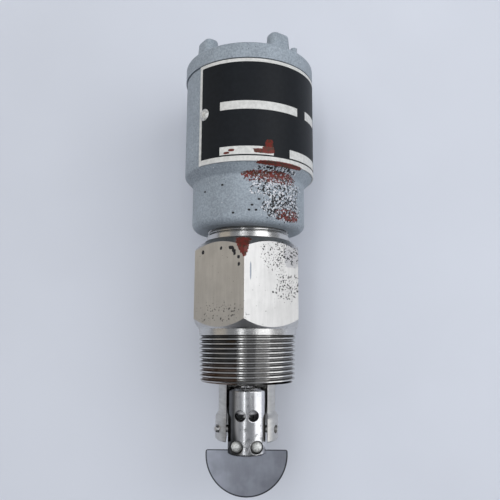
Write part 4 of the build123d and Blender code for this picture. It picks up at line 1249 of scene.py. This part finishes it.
class FLOWSWITCH_OT_studio(bpy.types.Operator):
    """Set up the backdrop, the lamps, the room and the camera"""

    bl_idname = "flow_switch.studio"
    bl_label = "Studio"

    # Tints of the lamps
    WHITE = (0.985, 0.99, 1.0)
    COOL = (0.96, 0.98, 1.0)
    SOFT = (0.97, 0.98, 1.0)
    WARM = (1.0, 0.80, 0.49)

    def execute(self, context):
        studio = context.scene.flow_switch_studio
        self.backdrop(studio)
        self.lamps()
        self.room(context, studio)
        self.camera(context, studio)
        return {"FINISHED"}

    def backdrop(self, studio):
        """A pale upright plane behind the switch, open from behind."""
        half = studio.backdrop_size
        y = HOUSING_BACK + studio.backdrop_gap
        work = bmesh.new()
        corners = ((-half, y, -half), (half, y, -half), (half, y, half), (-half, y, half))
        work.faces.new([work.verts.new(corner) for corner in corners])
        plane = close_piece(work, "backdrop")
        material, tree, shader = new_material("Backdrop")
        mottle = vary(tree, noise(tree, 9.0, 3.0, 0.5), 0.975, 1.02)
        feed(tree, shader.inputs["Base Color"], scale_colour(tree, studio.backdrop_colour, mottle))
        shader.inputs["Roughness"].default_value = 0.6
        shader.inputs["Specular IOR Level"].default_value = 0.1
        clear = add(tree, "ShaderNodeBsdfTransparent")
        either = add(tree, "ShaderNodeMixShader")
        feed(tree, either.inputs[0], add(tree, "ShaderNodeNewGeometry").outputs["Backfacing"])
        feed(tree, either.inputs[1], shader.outputs[0])
        feed(tree, either.inputs[2], clear.outputs[0])
        feed(tree, tree.nodes["Material Output"].inputs["Surface"], either.outputs[0])
        give_finish(plane, material)

    def lamps(self):
        """A key and a low lamp from the right, a narrow strip, a warm fill from the left and a front fill."""
        self.lamp("key_lamp", self.WHITE, 2.1, turn=38, distance=0.80, height=0.27, width=0.56, tall=0.62)
        self.lamp("low_lamp", self.WHITE, 1.5, turn=72, distance=0.80, height=-0.26, width=0.70, tall=0.40)
        self.lamp("strip_lamp", self.COOL, 2.4, turn=-14, distance=1.00, height=0.10, width=0.12, tall=1.2)
        self.lamp("left_lamp", self.WARM, 0.30, turn=-66, distance=0.90, height=0.36, width=0.60, tall=0.90)
        front = self.lamp(
            "front_lamp", self.SOFT, 1.80, turn=-12, distance=1.40, height=0.40, width=1.4, tall=1.4
        )
        front.visible_glossy = False

    def lamp(self, name, tint, radiance, turn, distance, height, width, tall):
        """A soft lamp that faces the switch, placed by the viewer's angle in degrees and by metres."""
        data = bpy.data.lights.new(name, "AREA")
        data.shape = "RECTANGLE"
        data.size = width
        data.size_y = tall
        data.energy = radiance * pi * width * tall
        data.color = tint
        lamp = bpy.data.objects.new(name, data)
        place = Vector((distance * sin(radians(turn)), -distance * cos(radians(turn)), height))
        target = Vector((0.0, 0.0, 0.04))
        lamp.location = place
        lamp.rotation_euler = (place - target).to_track_quat("Z", "Y").to_euler()
        lamp.visible_camera = False
        bpy.context.collection.objects.link(lamp)
        return lamp

    def room(self, context, studio):
        """A dim room, darker overhead and underfoot than at eye level."""
        world = bpy.data.worlds.new("Room")
        world.use_nodes = True
        tree = world.node_tree
        split = add(tree, "ShaderNodeSeparateXYZ")
        feed(tree, split.inputs[0], add(tree, "ShaderNodeTexCoord").outputs["Generated"])
        rise = calculate(tree, "ABSOLUTE", split.outputs["Z"])
        background = tree.nodes["Background"]
        feed(tree, background.inputs["Color"], studio.world_colour)
        feed(tree, background.inputs["Strength"], remap(tree, rise, 0.25, 0.85, 1.0, 0.15))
        context.scene.world = world

    def camera(self, context, studio):
        """A camera that stands and looks as the photograph's did."""
        data = bpy.data.cameras.new("camera")
        data.lens = studio.camera_lens
        data.sensor_width = 36.0
        data.clip_start = 0.01
        data.clip_end = 20.0
        camera = bpy.data.objects.new("camera", data)
        level = Matrix.Rotation(pi / 2 + studio.camera_lift, 4, "X")
        lean = Matrix.Rotation(studio.camera_roll, 4, "Z")
        camera.matrix_world = Matrix.Translation(studio.camera_place) @ level @ lean
        context.collection.objects.link(camera)
        context.scene.camera = camera
        context.scene.view_settings.view_transform = "Standard"


class FLOWSWITCH_PT_panel(bpy.types.Panel):
    """Lists the sizes, colours and operators of the flow switch"""

    bl_label = "Flow Switch"
    bl_idname = "FLOWSWITCH_PT_panel"
    bl_space_type = "VIEW_3D"
    bl_region_type = "UI"
    bl_category = "Flow Switch"

    def draw(self, context):
        layout = self.layout
        for group_name, group in PROPERTY_GROUPS.items():
            box = layout.box()
            values = getattr(context.scene, group_name)
            for name in group.__annotations__:
                box.prop(values, name)
        for operator in OPERATORS:
            layout.operator(operator.bl_idname)


OPERATORS = (
    FLOWSWITCH_OT_effects,
    FLOWSWITCH_OT_switch_body,
    FLOWSWITCH_OT_housing,
    FLOWSWITCH_OT_cap,
    FLOWSWITCH_OT_nameplate,
    FLOWSWITCH_OT_vane,
    FLOWSWITCH_OT_mechanism,
    FLOWSWITCH_OT_studio,
)


def register():
    """Register the classes and give the scene their property groups."""
    for group in PROPERTY_GROUPS.values():
        bpy.utils.register_class(group)
    for name, group in PROPERTY_GROUPS.items():
        setattr(bpy.types.Scene, name, PointerProperty(type=group))
    for item in (*OPERATORS, FLOWSWITCH_PT_panel):
        bpy.utils.register_class(item)


def unregister():
    """Undo register."""
    for item in reversed((*OPERATORS, FLOWSWITCH_PT_panel)):
        bpy.utils.unregister_class(item)
    for name in PROPERTY_GROUPS:
        delattr(bpy.types.Scene, name)
    for group in PROPERTY_GROUPS.values():
        bpy.utils.unregister_class(group)


def main():
    """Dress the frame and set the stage."""
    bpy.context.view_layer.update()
    register()
    for operator in OPERATORS:
        area, name = operator.bl_idname.split(".")
        getattr(getattr(bpy.ops, area), name)()
    bpy.context.view_layer.update()


if __name__ == "__main__":
    main()
